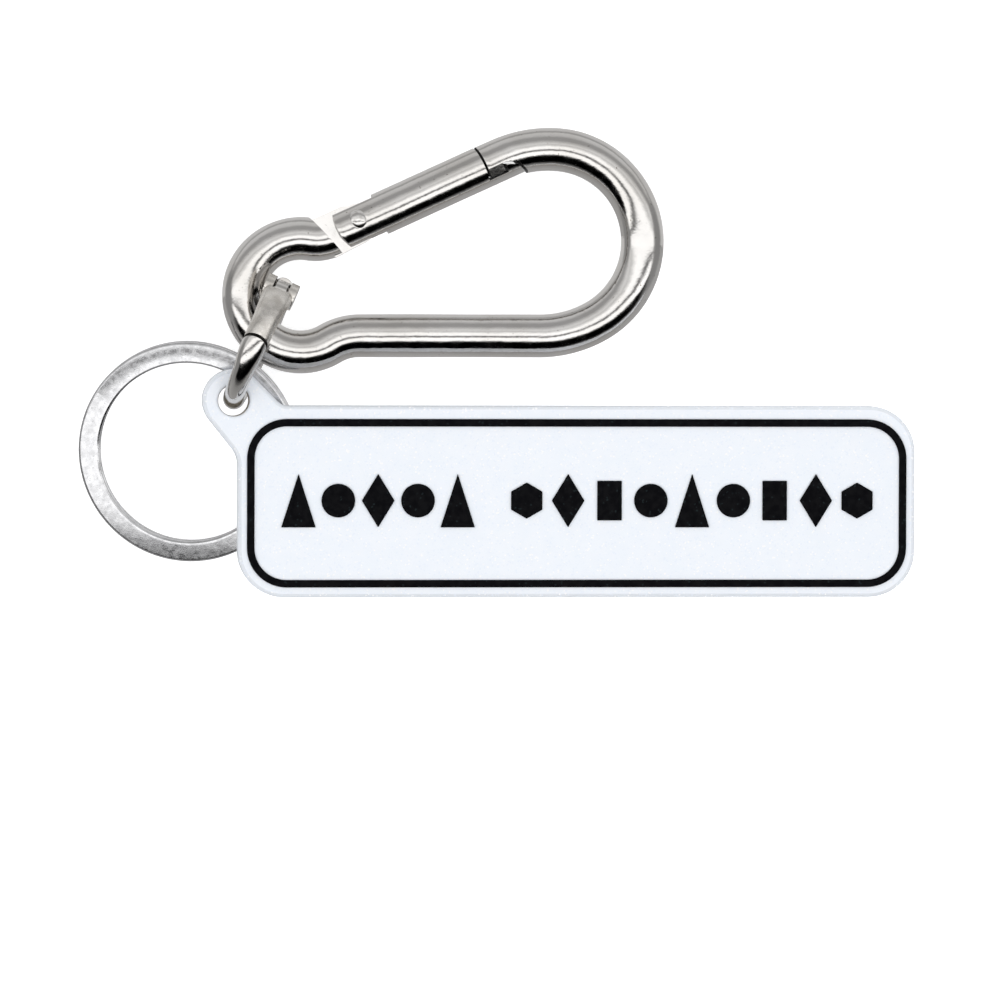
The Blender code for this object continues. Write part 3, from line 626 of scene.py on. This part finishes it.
def black_ink():
    """Raised print: black, half gloss, with a faint grain and a few tiny glints."""
    surface = Surface("black_ink", (0.003, 0.003, 0.004), 0.0, 0.5)
    surface.shader.inputs["Specular IOR Level"].default_value = 0.03
    flakes = surface.cells(0.2 * MM)
    glint = surface.spread(flakes.outputs["Red"], 0.965, 0.985, 0.0, 1.0)
    tone = surface.spread(surface.cloud(0.8 * MM), 0.35, 0.65, 0.0, 1.0)
    colour = surface.blend(tone, (0.002, 0.002, 0.003), (0.005, 0.005, 0.006))
    colour = surface.blend(glint, colour, (0.012, 0.017, 0.019))
    roughness = surface.spread(surface.cloud(0.35 * MM), 0.3, 0.7, 0.30, 0.48)
    grain = surface.bump(surface.cloud(0.3 * MM, 4.0), 0.012 * MM)
    return surface.finish(colour, roughness, grain)


# ---------------------------------------------------------------- carabiner


def on_gate_line(s, t=0.0):
    """A point of the carabiner's plane from its place along and square to the gate's axis."""
    return GATE_FOOT + GATE_DIR * s + GATE_OUT * t


def eased_arc(start, end, extra):
    """An arc that leaves the bow's circle at start with its radius longer by extra."""
    centre = BOW_CENTRE - Vector((cos(start), sin(start))) * extra
    return arc(centre, BOW_R + extra, start, end)


def carabiner_path():
    """The bar's middle line from the nose, round the bow, spine and eye, to the hinge."""
    nose_normal = GATE_ANGLE + pi / 2
    nose_extra = (GATE_LINE_FROM_BOW - BOW_R) / (1 - cos(nose_normal - NOSE_ARC_START))
    lower_extra = (BOW_CENTRE.y - BOW_R - SPINE_Y) / (1 + sin(LOWER_ARC_START))
    nose = eased_arc(NOSE_ARC_START, nose_normal, nose_extra)[::-1]
    bow = arc(BOW_CENTRE, BOW_R, NOSE_ARC_START, LOWER_ARC_START)
    lower = eased_arc(LOWER_ARC_START, -pi / 2, lower_extra)
    neck_drop = SPINE_Y - NECK_R
    neck_centre = Vector((sqrt((EYE_R + NECK_R) ** 2 - neck_drop**2), neck_drop))
    neck_angle = atan2(neck_centre.y, neck_centre.x)
    neck = arc(neck_centre, NECK_R, pi / 2, neck_angle + pi)
    eye_s = -GATE_FOOT.dot(GATE_DIR)
    eye_t = -GATE_FOOT.dot(GATE_OUT)
    bend_s = eye_s + sqrt((EYE_R + HINGE_BEND_R) ** 2 - (HINGE_BEND_R - eye_t) ** 2)
    bend_centre = on_gate_line(bend_s, HINGE_BEND_R)
    bend_angle = atan2(bend_centre.y, bend_centre.x)
    eye = arc((0, 0), EYE_R, neck_angle, bend_angle - 2 * pi)
    bend = arc(bend_centre, HINGE_BEND_R, bend_angle - pi, GATE_ANGLE - pi / 2)
    start = [on_gate_line(SEAM_S - NOSE_LEAD)]
    end = [on_gate_line(SHOULDER[1].x + SHOULDER_REACH)]
    return without_doubles(start + nose + bow + lower + neck + eye + bend + end)


def seam_points(shift):
    """The gate's slightly crowned end, from its top to the level of its lower strip."""
    rise = BAR_R + OVERCUT
    heights = [rise * (1 - i / 16) + (BLOCK_BOTTOM - GAP) * i / 16 for i in range(17)]
    return [Vector((SEAM_S + shift + SEAM_BULGE * (1 - (h / rise) ** 2), h)) for h in heights]


def gate_latch_outline():
    """What is taken from the gate's end: everything above and beyond its hook."""
    strip = BLOCK_BOTTOM - GAP
    hook = [
        Vector((BLOCK_RIGHT + GAP, strip)),
        Vector((BLOCK_RIGHT + GAP, POCKET_TOP - GAP)),
        LIP_RIGHT,
        LIP_TOE,
    ]
    beyond = [Vector((LIP_TOE.x, -FAR)), Vector((FAR, -FAR)), Vector((FAR, BAR_R + OVERCUT))]
    return seam_points(0.0) + hook + beyond


def nose_latch_outline():
    """What is taken from the nose: the space of the gate's hooked end with its clearance."""
    crown = [p for p in seam_points(GAP) if p.y > POCKET_TOP]
    block = [
        Vector((BLOCK_LEFT, POCKET_TOP)),
        Vector((BLOCK_LEFT, BLOCK_BOTTOM)),
        Vector((BLOCK_RIGHT, BLOCK_BOTTOM)),
        Vector((BLOCK_RIGHT, POCKET_TOP)),
        Vector((BLOCK_RIGHT + GAP, POCKET_TOP)),
        LIP_RIGHT + Vector((LIP_CLEARANCE, LIP_CLEARANCE)),
        LIP_TOE + Vector((LIP_CLEARANCE, 0)),
    ]
    left = SEAM_S - 2 * NOSE_LEAD
    low = LIP_TOE.y - NOSE_LEAD
    beyond = [Vector((LIP_TOE.x + LIP_CLEARANCE, low)), Vector((left, low)), Vector((left, crown[0].y))]
    return crown + block + beyond


def block_face():
    """What is planed off the latch block to leave a flat, tilted face."""
    across = Vector((cos(BLOCK_FACE_TILT), sin(BLOCK_FACE_TILT)))
    above = Vector((-across.y, across.x))
    low = Vector((BLOCK_BOTTOM, BLOCK_FACE_LEVEL)) - across * MM
    high = low + across * ((POCKET_TOP - BLOCK_BOTTOM) / across.x + MM)
    corners = [low, high, high + above * 2 * MM, low + above * 2 * MM]
    bm = bmesh.new()
    ends = [[bm.verts.new((s, p.x, p.y)) for p in corners] for s in BLOCK_FACE_SPAN]
    for k in range(4):
        n = (k + 1) % 4
        bm.faces.new((ends[0][k], ends[0][n], ends[1][n], ends[1][k]))
    for end in ends:
        bm.faces.new(end)
    return bm


def tongue_outline():
    """The flat tongue at the hinge: a round head for the rivet and a cam for the plunger."""
    rivet = Vector((RIVET_S, RIVET_T))
    head = arc(rivet, TONGUE_HEAD_R, radians(100), 0, radians(6))
    cam = arc(rivet + CAM_OFFSET, TONGUE_CAM_R, 0, -pi / 2, radians(6))
    back_top = [Vector((TONGUE_BACK, TONGUE_TOP)), Vector((TONGUE_FLAT_END, TONGUE_TOP))]
    back_bottom = Vector((SHOULDER[1].x - 0.9 * MM, cam[-1].y - 0.2 * MM))
    return [back_bottom] + back_top + head + cam


def shoulder_outline():
    """The space past the slanted end of the round bar."""
    top, bottom = SHOULDER
    slope = (top - bottom).normalized() * SHOULDER_REACH
    low = bottom - slope
    high = top + slope
    right = bottom.x + 2 * SHOULDER_REACH
    return [low, Vector((right, low.y)), Vector((right, high.y)), high]


def ear_outline():
    """What is taken from the gate's hinge end to leave rounded ears."""
    centre = Vector((EAR_END_S + EAR_END_R, RIVET_T))
    crown = arc(centre, EAR_END_R, radians(122), radians(238))
    far_left = EAR_END_S - FAR
    return crown + [Vector((far_left, crown[-1].y)), Vector((far_left, crown[0].y))]


def through_rivet(radius, low, high):
    level = RIVET_T - RIVET_SINK
    return cylinder(radius, Vector((RIVET_S, level, low)), Vector((RIVET_S, level, high)))


def build_bar(nickel, gap_shade):
    bm = tube(evenly(flat(carabiner_path()), BAR_STEP), BAR_R, BAR_SIDES)
    waver(bm, *BAR_WAVER)
    bar = make_object("hook_bar", bm, CARABINER_FRAME, nickel)
    shoulder = make_object("cut_shoulder", prism(shoulder_outline(), -FAR, FAR), AXIS_FRAME)
    # The nose's cut walls take the painted shade material: nearly black, for the shade inside the
    # latch.
    nose = make_object("cut_nose", leaned(prism(nose_latch_outline(), -FAR, FAR)), AXIS_FRAME, gap_shade)
    plane = make_object("cut_block", block_face(), AXIS_FRAME)
    tongue = make_object("add_tongue", prism(tongue_outline(), -TONGUE_HALF, TONGUE_HALF), AXIS_FRAME)
    hole = make_object("cut_hole", through_rivet(RIVET_SHAFT_R + TONGUE_PLAY, -FAR, FAR), AXIS_FRAME)
    cuts = (("DIFFERENCE", shoulder), ("DIFFERENCE", nose), ("DIFFERENCE", plane))
    carve(bar, *cuts, ("UNION", tongue), ("DIFFERENCE", hole))
    soften(bar, BAR_EDGE)
    install(bar, "carabiner", "polished_nickel", "carabiner_body")


def build_gate(nickel, gap_shade):
    stations = [Vector((s, 0, 0)) for s in (EAR_END_S - OVERCUT, SLOT_END_S, LIP_TOE.x + MM)]
    bm = tube(evenly(stations, BAR_STEP), BAR_R, BAR_SIDES)
    waver(bm, *GATE_WAVER)
    gate = make_object("hook_gate", bm, AXIS_FRAME, nickel)
    # The hook's cut walls take the painted shade material: nearly black, for the shade inside the
    # latch.
    hook = make_object("cut_hook", leaned(prism(gate_latch_outline(), -FAR, FAR)), AXIS_FRAME, gap_shade)
    ears = make_object("cut_ears", prism(ear_outline(), -FAR, FAR), AXIS_FRAME)
    slot_half = TONGUE_HALF + GAP
    left = EAR_END_S - FAR
    corners = [(left, -FAR), (SLOT_END_S, -FAR), (SLOT_END_S, FAR), (left, FAR)]
    slot = make_object("cut_slot", prism(corners, -slot_half, slot_half), AXIS_FRAME)
    bore_ends = [Vector((s, BORE_T, 0)) for s in (SLOT_END_S - MM, BORE_END_S)]
    bore = make_object("cut_bore", cylinder(BORE_R, *bore_ends, 40), AXIS_FRAME)
    hole = make_object("cut_hole", through_rivet(RIVET_SHAFT_R + RIVET_PLAY, -FAR, FAR), AXIS_FRAME)
    cuts = (hook, ears, slot, bore, hole)
    carve(gate, *(("DIFFERENCE", cutter) for cutter in cuts))
    soften(gate, GATE_EDGE)
    install(gate, "gate", "polished_nickel", "carabiner_gate")


def build_rivet(metal):
    """A shaft with two low domed heads."""
    steps = [radians(90 * i / 10) for i in range(11)]
    rise = RIVET_HEAD_TOP - RIVET_HEAD_BASE
    dome = [(RIVET_HEAD_R * cos(a), RIVET_HEAD_BASE + rise * sin(a)) for a in steps[:-1]]
    dome.append((0, RIVET_HEAD_TOP))
    upper = [(RIVET_SHAFT_R, RIVET_HEAD_BASE)] + dome
    profile = [(r, -h) for r, h in reversed(upper)] + upper
    rivet = turned(profile, WORLD_Z, 48, Vector((0, -RIVET_SINK, 0)))
    rivet = make_object("hook_rivet", rivet, RIVET_FRAME, metal)
    soften(rivet, RIVET_EDGE, limit=radians(60))
    install(rivet, "gate", "rivet_metal", "gate_rivet")


def build_gate_spring(steel):
    """The coil behind the plunger, running to the end of its bore."""
    start = Vector((COIL_START_S, BORE_T, 0))
    end = Vector((BORE_END_S - COIL_END_GAP, BORE_T, 0))
    length = end.x - start.x - 2 * COIL_WIRE_R
    count = COIL_TURNS * COIL_STEPS
    points = []
    for i in range(count + 1):
        angle = 2 * pi * i / COIL_STEPS
        reach = COIL_WIRE_R + length * i / count
        points.append(start + Vector((reach, COIL_R * cos(angle), COIL_R * sin(angle))))
    coil = tube(points, COIL_WIRE_R, 10, Vector((1, 0, 0)))
    spring = make_object("hook_spring", coil, AXIS_FRAME, steel)
    spring.data.shade_smooth()
    install(spring, "gate", "spring_steel", "gate_spring")
    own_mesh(spring)


# ---------------------------------------------------------------- link


def by_link_pin(along, out):
    """A point of the link's plane from its place along and out of the ring at the hinge pin."""
    return LINK_PIN + LINK_TANGENT * along + LINK_OUT * out


def link_seam_outline(shift, beyond):
    """One side of the slanted seam, moved along the seam's normal by shift."""
    slope = Vector((cos(LINK_SEAM_SLOPE), sin(LINK_SEAM_SLOPE)))
    normal = Vector((slope.y, -slope.x))
    base = LINK_SEAM_TOP + normal * shift
    away = normal * beyond
    low = base - slope * 4 * MM
    high = base + slope * 3 * MM
    return [low, high, high + away * 5 * MM, low + away * 5 * MM]


def link_pin_cutter(radius):
    pin = upright([LINK_PIN])[0]
    return cylinder(radius, pin - WORLD_Y * 4 * MM, pin + WORLD_Y * 4 * MM, 40)


def build_link_wire(nickel, gap_shade):
    points = upright(arc((0, 0), LINK_R, LINK_SWELL_START, 2 * pi + LINK_SHOULDER))
    circle = circle_section(LINK_WIRE_R, WIRE_SIDES)

    def section(i):
        """Swollen across, without getting thicker, towards the seam."""
        angle = LINK_SWELL_START + FINE * i
        share = min(1.0, max(0.0, 1.6 * (LINK_SWELL_END - angle) / (LINK_SWELL_END - LINK_SWELL_START)))
        swell = 1 + (LINK_SWELL_HALF / LINK_WIRE_R - 1) * share * share * (3 - 2 * share)
        return [(a, b * swell) for a, b in circle]

    bm = bmesh.new()
    sweep(bm, points, section, WORLD_Y)
    waver(bm, *LINK_WAVER)
    wire = make_object("link_wire", bm, LINK_FRAME, nickel)
    seam = prism(link_seam_outline(0.0, 1), -LINK_CUT_REACH, LINK_CUT_REACH, True)
    # The seam's cut walls take the painted shade material: nearly black, for the shade in the link's
    # seam.
    seam = make_object("cut_seam", seam, LINK_FRAME, gap_shade)
    head = [by_link_pin(p.x, -p.y) for p in arc((0, 0), LINK_TONGUE_R, pi / 2, -pi / 2, radians(6))]
    root_top = LINK_TONGUE_R - LINK_ROOT_DROP
    root = [by_link_pin(LINK_ROOT_BACK, root_top), by_link_pin(LINK_ROOT_BACK, -LINK_TONGUE_R)]
    tongue = prism(head + root, -LINK_TONGUE_HALF, LINK_TONGUE_HALF, True)
    tongue = make_object("add_tongue", tongue, LINK_FRAME)
    hole = make_object("cut_pin_hole", link_pin_cutter(LINK_PIN_R + PIN_PLAY), LINK_FRAME)
    carve(wire, ("DIFFERENCE", seam), ("UNION", tongue), ("DIFFERENCE", hole))
    soften(wire, LINK_EDGE)
    install(wire, "link", "polished_nickel", "link_body")


def build_link_gate(satin, gap_shade):
    """Round at the seam, flattening and widening to the two ears at the pin."""
    points = upright(arc((0, 0), LINK_R, LINK_HINGE, radians(103)))
    last = len(points) - 1

    def section(i):
        widen = max(0.0, 1 - 1.6 * i / last)
        half = LINK_SWELL_HALF + (LINK_EAR_OUTER - LINK_SWELL_HALF) * widen * widen * (3 - 2 * widen)
        square = 0.3 * widen
        offsets = []
        for a, b in circle_section(1.0, WIRE_SIDES):
            stretch = 1 + square * (1 / max(abs(a), abs(b)) - 1)
            offsets.append((a * stretch * LINK_WIRE_R, b * stretch * half))
        return offsets

    bm = bmesh.new()
    sweep(bm, points, section, WORLD_Y)
    gate = make_object("link_cast_gate", bm, LINK_FRAME, satin)
    pin = upright([LINK_PIN])[0]
    eye = cylinder(LINK_EAR_R, pin - WORLD_Y * LINK_EAR_OUTER, pin + WORLD_Y * LINK_EAR_OUTER, 56)
    eye = make_object("add_eye", eye, LINK_FRAME)
    # The seam's and the slot's cut walls take the painted shade material: nearly black, for the shade
    # in the gaps.
    outline = link_seam_outline(LINK_SEAM_GAP, -1)
    seam = prism(outline, -LINK_CUT_REACH, LINK_CUT_REACH, True)
    seam = make_object("cut_seam", seam, LINK_FRAME, gap_shade)
    back = -4 * MM
    beside = 3 * MM
    corners = ((back, -beside), (LINK_SLOT_END, -beside), (LINK_SLOT_END, beside), (back, beside))
    slot = prism([by_link_pin(a, b) for a, b in corners], -LINK_EAR_INNER, LINK_EAR_INNER, True)
    slot = make_object("cut_slot", slot, LINK_FRAME, gap_shade)
    hole = make_object("cut_pin_hole", link_pin_cutter(LINK_PIN_R + PIN_PLAY), LINK_FRAME)
    carve(gate, ("UNION", eye), ("DIFFERENCE", seam), ("DIFFERENCE", slot), ("DIFFERENCE", hole))
    soften(gate, CAST_EDGE)
    install(gate, "link_gate", "satin_nickel", "link_gate", "link_gate_spring")


def build_link_pin(nickel):
    """The pressed pin, its ends slightly rounded and flush with the ears."""
    half = LINK_EAR_OUTER
    nip = 0.08 * MM
    profile = [(0, -half), (LINK_PIN_R - nip, -half), (LINK_PIN_R, -half + nip)]
    profile += [(r, -h) for r, h in reversed(profile)]
    pin = turned(profile, WORLD_Y, 32, upright([LINK_PIN])[0])
    pin = make_object("link_pin", pin, LINK_FRAME, nickel)
    soften(pin, PIN_EDGE, limit=radians(30))
    install(pin, "link", "polished_nickel", "link_hinge_pin")


# ---------------------------------------------------------------- split ring


def ring_section():
    """Half the wire's flat section, outer wall to inner wall, and its mirror image below."""
    points = [(x * MM, y * MM) for x, y in RING_UPPER_EDGE]
    return points + [(x, -y) for x, y in reversed(points)]


def build_split_ring(steel):
    """Two slightly dished turns: each end of the wire stops beside the crossing between the turns."""
    middle = RING_OUTER_R - RING_WIDTH / 2
    section = ring_section()
    start = CROSSING_HALF + WIRE_END_GAP / middle
    end = 4 * pi - start
    count = 480
    centres = []
    slopes = []
    for i in range(count + 1):
        angle = start + (end - start) * i / count
        share = (angle - (2 * pi - CROSSING_HALF)) / (2 * CROSSING_HALF)
        share = min(1.0, max(0.0, share))
        height = TURN_PITCH * (share * share * (3 - 2 * share) - 0.5)
        place = angle + CROSSING_ANGLE
        centres.append(Vector((middle * cos(place), middle * sin(place), height)))
        slopes.append(tan(RING_CONE - RING_WAVE * cos(place - RING_WAVE_ANGLE)))
    bm = bmesh.new()
    sweep(bm, centres, lambda i: [(a, b - a * slopes[i]) for a, b in section])
    ring = make_object("split_ring_wire", bm, RING_FRAME, steel)
    soften(ring, 0.05 * MM, limit=radians(60), smooth=radians(22))
    install(ring, "ring", "brushed_ring_steel", "split_ring")


# ---------------------------------------------------------------- tag


def rounded_box(left, right, bottom, top, radius, step=radians(5)):
    """A rectangle with round corners, counterclockwise from its lower left corner."""
    corners = ((left, bottom, pi), (right, bottom, 1.5 * pi), (right, top, 0), (left, top, pi / 2))
    points = []
    for x, y, start in corners:
        centre = (x + radius if x == left else x - radius, y + radius if y == bottom else y - radius)
        points += arc(centre, radius, start, start + pi / 2, step)
    return points


def fillet(before, corner, after, radius):
    """An arc that rounds the corner between two straight runs."""
    to_before = (before - corner).normalized()
    to_after = (after - corner).normalized()
    half = acos(to_before.dot(to_after)) / 2
    reach = radius / tan(half)
    start = corner + to_before * reach
    end = corner + to_after * reach
    centre = corner + (to_before + to_after).normalized() * (radius / sin(half))
    first = atan2(start.y - centre.y, start.x - centre.x)
    turn = atan2(end.y - centre.y, end.x - centre.x) - first
    turn = (turn + pi) % (2 * pi) - pi
    return arc(centre, radius, first, first + turn, radians(4))


def tag_outline():
    """The rounded bar with its ear, the ear's two slopes running out in fillets."""
    foot_right = Vector((EAR_FOOT_RIGHT, TAG_TOP))
    foot_left = Vector((TAG_LEFT, EAR_FOOT_LEFT))
    spans = [acos(TAG_EAR_R / hypot(foot.x, foot.y)) for foot in (foot_right, foot_left)]
    ear_from = atan2(foot_right.y, foot_right.x) + spans[0]
    ear_to = atan2(foot_left.y, foot_left.x) - spans[1] + 2 * pi
    ear = arc((0, 0), TAG_EAR_R, ear_from, ear_to, radians(4))
    box = rounded_box(TAG_LEFT, TAG_RIGHT, TAG_BOTTOM, TAG_TOP, TAG_CORNER_R)
    lower = box[: 3 * (len(box) // 4)]
    right = fillet(lower[-1], foot_right, ear[0], FOOT_FILLETS[0])
    left = fillet(ear[-1], foot_left, lower[0], FOOT_FILLETS[1])
    return without_doubles(right + ear + left + lower, True)


def build_plate(acrylic, hole_shade, shaded_edge):
    plate = make_object("tag_acrylic", prism(tag_outline(), 0, TAG_THICKNESS), TAG_FRAME, acrylic)
    below = -WORLD_Z * MM
    hole = cylinder(TAG_HOLE_R, below, below + WORLD_Z * (TAG_THICKNESS + 2 * MM), 80)
    carve(plate, ("DIFFERENCE", make_object("cut_tag_hole", hole, TAG_FRAME)))
    soften(plate, TAG_EDGE_R, limit=radians(50))
    plate.data.materials.append(hole_shade)
    plate.data.materials.append(shaded_edge)
    # Painted shade: the hole's wall and its bevel take the beige-grey hole material.
    for face in plate.data.polygons:
        reach = hypot(face.center.x, face.center.y)
        if reach < TAG_HOLE_R + 0.13 * MM:
            face.material_index = 1
        # The bevels and walls round the outline take the darker copy: painted shade on the tag's edges.
        elif face.normal.z < 0.97 and reach > TAG_HOLE_R + MM:
            face.material_index = 2
    install(plate, "tag", "glitter_acrylic", "tag_plate")


def build_border(ink):
    """The raised line round the tag's face."""
    low = TAG_THICKNESS + PRINT_LIFT
    line = FRAME_LINE
    left = TAG_LEFT + FRAME_INSET
    right = TAG_RIGHT - FRAME_INSET
    top = TAG_TOP - FRAME_INSET_Y[0]
    bottom = TAG_BOTTOM + FRAME_INSET_Y[1]
    outer = rounded_box(left, right, bottom, top, FRAME_CORNER_R)
    inner = rounded_box(left + line, right - line, bottom + line, top - line, FRAME_CORNER_R - line)
    border = make_object("tag_border", prism(outer, low, low + PRINT_HEIGHT), TAG_FRAME, ink)
    window = prism(inner, low - MM, low + MM)
    carve(border, ("DIFFERENCE", make_object("cut_window", window, TAG_FRAME)))
    soften(border, PRINT_EDGE_R, 2, limit=radians(50))
    install(border, "tag", "black_ink", "tag_printed_frame")


def peak():
    return [Vector((-0.5, -0.5)), Vector((0.5, -0.5)), Vector((0, 0.5))]


def lozenge():
    return [Vector((-0.5, 0)), Vector((0, -0.5)), Vector((0.5, 0)), Vector((0, 0.5))]


def disc():
    return arc((0, 0), 0.5, 0, 2 * pi - radians(5), radians(5))


def hexagon():
    return arc((0, 0), 0.5, radians(30), radians(330), radians(60))


def block():
    return [Vector((-0.42, -0.5)), Vector((0.42, -0.5)), Vector((0.42, 0.5)), Vector((-0.42, 0.5))]


MARK_PATTERNS = (
    (peak, disc, lozenge, disc, peak),
    (hexagon, lozenge, block, disc, peak, disc, block, lozenge, hexagon),
)
MARK_SIZES = {
    peak: (4.0 * MM, MARK_HEIGHT),
    lozenge: (3.8 * MM, MARK_HEIGHT),
    disc: (3.9 * MM, 3.9 * MM),
    hexagon: (4.2 * MM, 4.2 * MM),
    block: (3.4 * MM, 4.6 * MM),
}


def build_marks(ink):
    """A row of plain raised shapes in two groups."""
    low = TAG_THICKNESS + PRINT_LIFT
    number = 1
    for (count, first, pitch), shapes in zip(MARK_GROUPS, MARK_PATTERNS):
        for i in range(count):
            width, height = MARK_SIZES[shapes[i]]
            centre = Vector((first + pitch * i, MARK_ROW_Y))
            outline = [Vector((p.x * width, p.y * height)) + centre for p in shapes[i]()]
            name = f"{shapes[i].__name__}_mark_{number:02d}"
            mark = make_object(name, prism(outline, low, low + PRINT_HEIGHT), TAG_FRAME, ink)
            soften(mark, PRINT_EDGE_R, 2, limit=radians(30))
            install(mark, "tag", "black_ink", f"tag_mark_{number:02d}")
            number += 1


# ---------------------------------------------------------------- studio

CAMERA_HEIGHT = 1.0
FIELD_WIDTH = 116.3 * MM
CAMERA_PLACE = Vector((0.38, -16.02)) * MM
SENSOR = 36.0
FOCUS_LEVEL = 4 * MM

# The room's brightness by angle from the zenith, in degrees, towards +Y above 0: dark behind the
# camera stand on the -Y side, two strip lights along X overhead with a narrow gap, and a grey wall
# on the +Y side.
ROOM_STEPS = (
    (-179, 0.30),
    (-125, 0.30),
    (-100, 0.24),
    (-86, 0.20),
    (-78, 0.08),
    (-71, 0.0),
    (-39, 0.0),
    (-33, 0.08),
    (-28, 1.0),
    (-14, 1.05),
    (-10, 0.50),
    (-7, 0.12),
    (-4, 0.15),
    (1, 0.95),
    (11, 1.0),
    (15, 0.75),
    (22, 0.48),
    (29, 0.62),
    (37, 0.48),
    (50, 0.27),
    (66, 0.27),
    (78, 0.43),
    (98, 0.48),
    (104, 0.30),
    (112, 0.28),
    (120, 0.45),
    (179, 0.45),
)
PANEL_PLACE = Vector((0.0, -0.3, 0.9))
ROOM_STRENGTH = 1.55
STRIP_END = (0.85, 0.97)
ROOM_SIDE = 0.2


def build_room():
    """Soft studio light: the room is seen in reflections, and is a plain pale sweep to the camera."""
    world = bpy.data.worlds.new("studio")
    bpy.context.scene.world = world
    world.use_nodes = True
    nodes = world.node_tree.nodes
    links = world.node_tree.links
    nodes.clear()
    direction = nodes.new("ShaderNodeSeparateXYZ")
    links.new(nodes.new("ShaderNodeTexCoord").outputs["Generated"], direction.inputs["Vector"])
    tilt = nodes.new("ShaderNodeMath")
    tilt.operation = "ARCTAN2"
    links.new(direction.outputs["Y"], tilt.inputs[0])
    links.new(direction.outputs["Z"], tilt.inputs[1])
    share = nodes.new("ShaderNodeMapRange")
    share.inputs["From Min"].default_value = -pi
    share.inputs["From Max"].default_value = pi
    links.new(tilt.outputs[0], share.inputs["Value"])
    ramp = nodes.new("ShaderNodeValToRGB")
    elements = ramp.color_ramp.elements
    elements[0].position = 0.0
    elements[0].color = (0.1, 0.1, 0.1, 1)
    elements[1].position = 1.0
    elements[1].color = (0.45, 0.45, 0.45, 1)
    for angle, level in ROOM_STEPS:
        element = elements.new(angle / 360 + 0.5)
        element.color = (level, level, level, 1)
    links.new(share.outputs[0], ramp.inputs["Fac"])
    side = nodes.new("ShaderNodeMath")
    side.operation = "ABSOLUTE"
    links.new(direction.outputs["X"], side.inputs[0])
    end = nodes.new("ShaderNodeMapRange")
    end.interpolation_type = "SMOOTHSTEP"
    end.inputs["From Min"].default_value = STRIP_END[0]
    end.inputs["From Max"].default_value = STRIP_END[1]
    links.new(side.outputs[0], end.inputs["Value"])
    mix = nodes.new("ShaderNodeMix")
    mix.data_type = "RGBA"
    links.new(end.outputs[0], mix.inputs["Factor"])
    links.new(ramp.outputs["Color"], mix.inputs[6])
    mix.inputs[7].default_value = (ROOM_SIDE, ROOM_SIDE, ROOM_SIDE, 1)
    room = nodes.new("ShaderNodeBackground")
    room.inputs["Strength"].default_value = ROOM_STRENGTH
    links.new(mix.outputs[2], room.inputs["Color"])
    sweep_tone = nodes.new("ShaderNodeBackground")
    sweep_tone.inputs["Color"].default_value = (0.97, 0.97, 0.97, 1)
    choose = nodes.new("ShaderNodeMixShader")
    links.new(nodes.new("ShaderNodeLightPath").outputs["Is Camera Ray"], choose.inputs["Fac"])
    links.new(room.outputs[0], choose.inputs[1])
    links.new(sweep_tone.outputs[0], choose.inputs[2])
    links.new(choose.outputs[0], nodes.new("ShaderNodeOutputWorld").inputs["Surface"])


def build_floor():
    """A plain pale sheet, faintly lit from within so that shadows on it stay soft and light."""
    surface = Surface("pale_floor", (0.93, 0.93, 0.93), 0.0, 0.9)
    surface.shader.inputs["Specular IOR Level"].default_value = 0.0
    surface.shader.inputs["Emission Color"].default_value = (1, 1, 1, 1)
    surface.shader.inputs["Emission Strength"].default_value = 0.6
    tone = surface.spread(surface.cloud(0.4), 0.3, 0.7, 0.0, 1.0)
    material = surface.finish(surface.blend(tone, (0.93, 0.93, 0.93), (0.92, 0.92, 0.925)))
    bm = bmesh.new()
    bmesh.ops.create_circle(bm, cap_ends=True, segments=64, radius=4.0)
    floor = make_object("floor", bm, Matrix.Identity(4), material)
    floor.visible_glossy = False


def build_lights():
    """A wide overhead panel for the matt surfaces; the metal reflects the room instead."""
    light = bpy.data.lights.new("panel", "AREA")
    light.shape = "DISK"
    light.size = 1.6
    light.energy = 4.4
    panel = bpy.data.objects.new("panel", light)
    panel.location = PANEL_PLACE
    panel.rotation_euler = PANEL_PLACE.to_track_quat("Z", "Y").to_euler()
    panel.visible_glossy = False
    bpy.context.scene.collection.objects.link(panel)


def build_camera():
    data = bpy.data.cameras.new("camera")
    data.sensor_width = SENSOR
    data.lens = SENSOR * CAMERA_HEIGHT / FIELD_WIDTH
    data.clip_start = 0.01
    data.clip_end = 20
    camera = bpy.data.objects.new("camera", data)
    camera.location = (CAMERA_PLACE.x, CAMERA_PLACE.y, CAMERA_HEIGHT + FOCUS_LEVEL)
    bpy.context.scene.collection.objects.link(camera)
    bpy.context.scene.camera = camera


def main():
    nickel = polished_nickel()
    rivet = rivet_metal()
    spring = spring_steel()
    ink = black_ink()
    # Painted shade for the walls inside the latch and the link's gaps.
    gap_shade = painted_latch_shade()
    build_bar(nickel, gap_shade)
    build_gate(nickel, gap_shade)
    build_rivet(rivet)
    build_gate_spring(spring)
    build_link_wire(nickel, gap_shade)
    build_link_gate(satin_nickel(), gap_shade)
    build_link_pin(nickel)
    build_split_ring(brushed_ring_steel())
    # The third material is a darker copy of the acrylic: painted shade for the tag's edges.
    build_plate(glitter_acrylic(), cut_edge_acrylic(), glitter_acrylic("painted_shade_edge_acrylic", 0.86))
    build_border(ink)
    build_marks(ink)
    plunger = frame["nodes"]["gate_plunger"]
    plunger.data.materials.clear()
    plunger.data.materials.append(rivet)
    build_room()
    build_floor()
    build_lights()
    build_camera()
    bpy.context.scene.view_settings.view_transform = "Standard"


main()
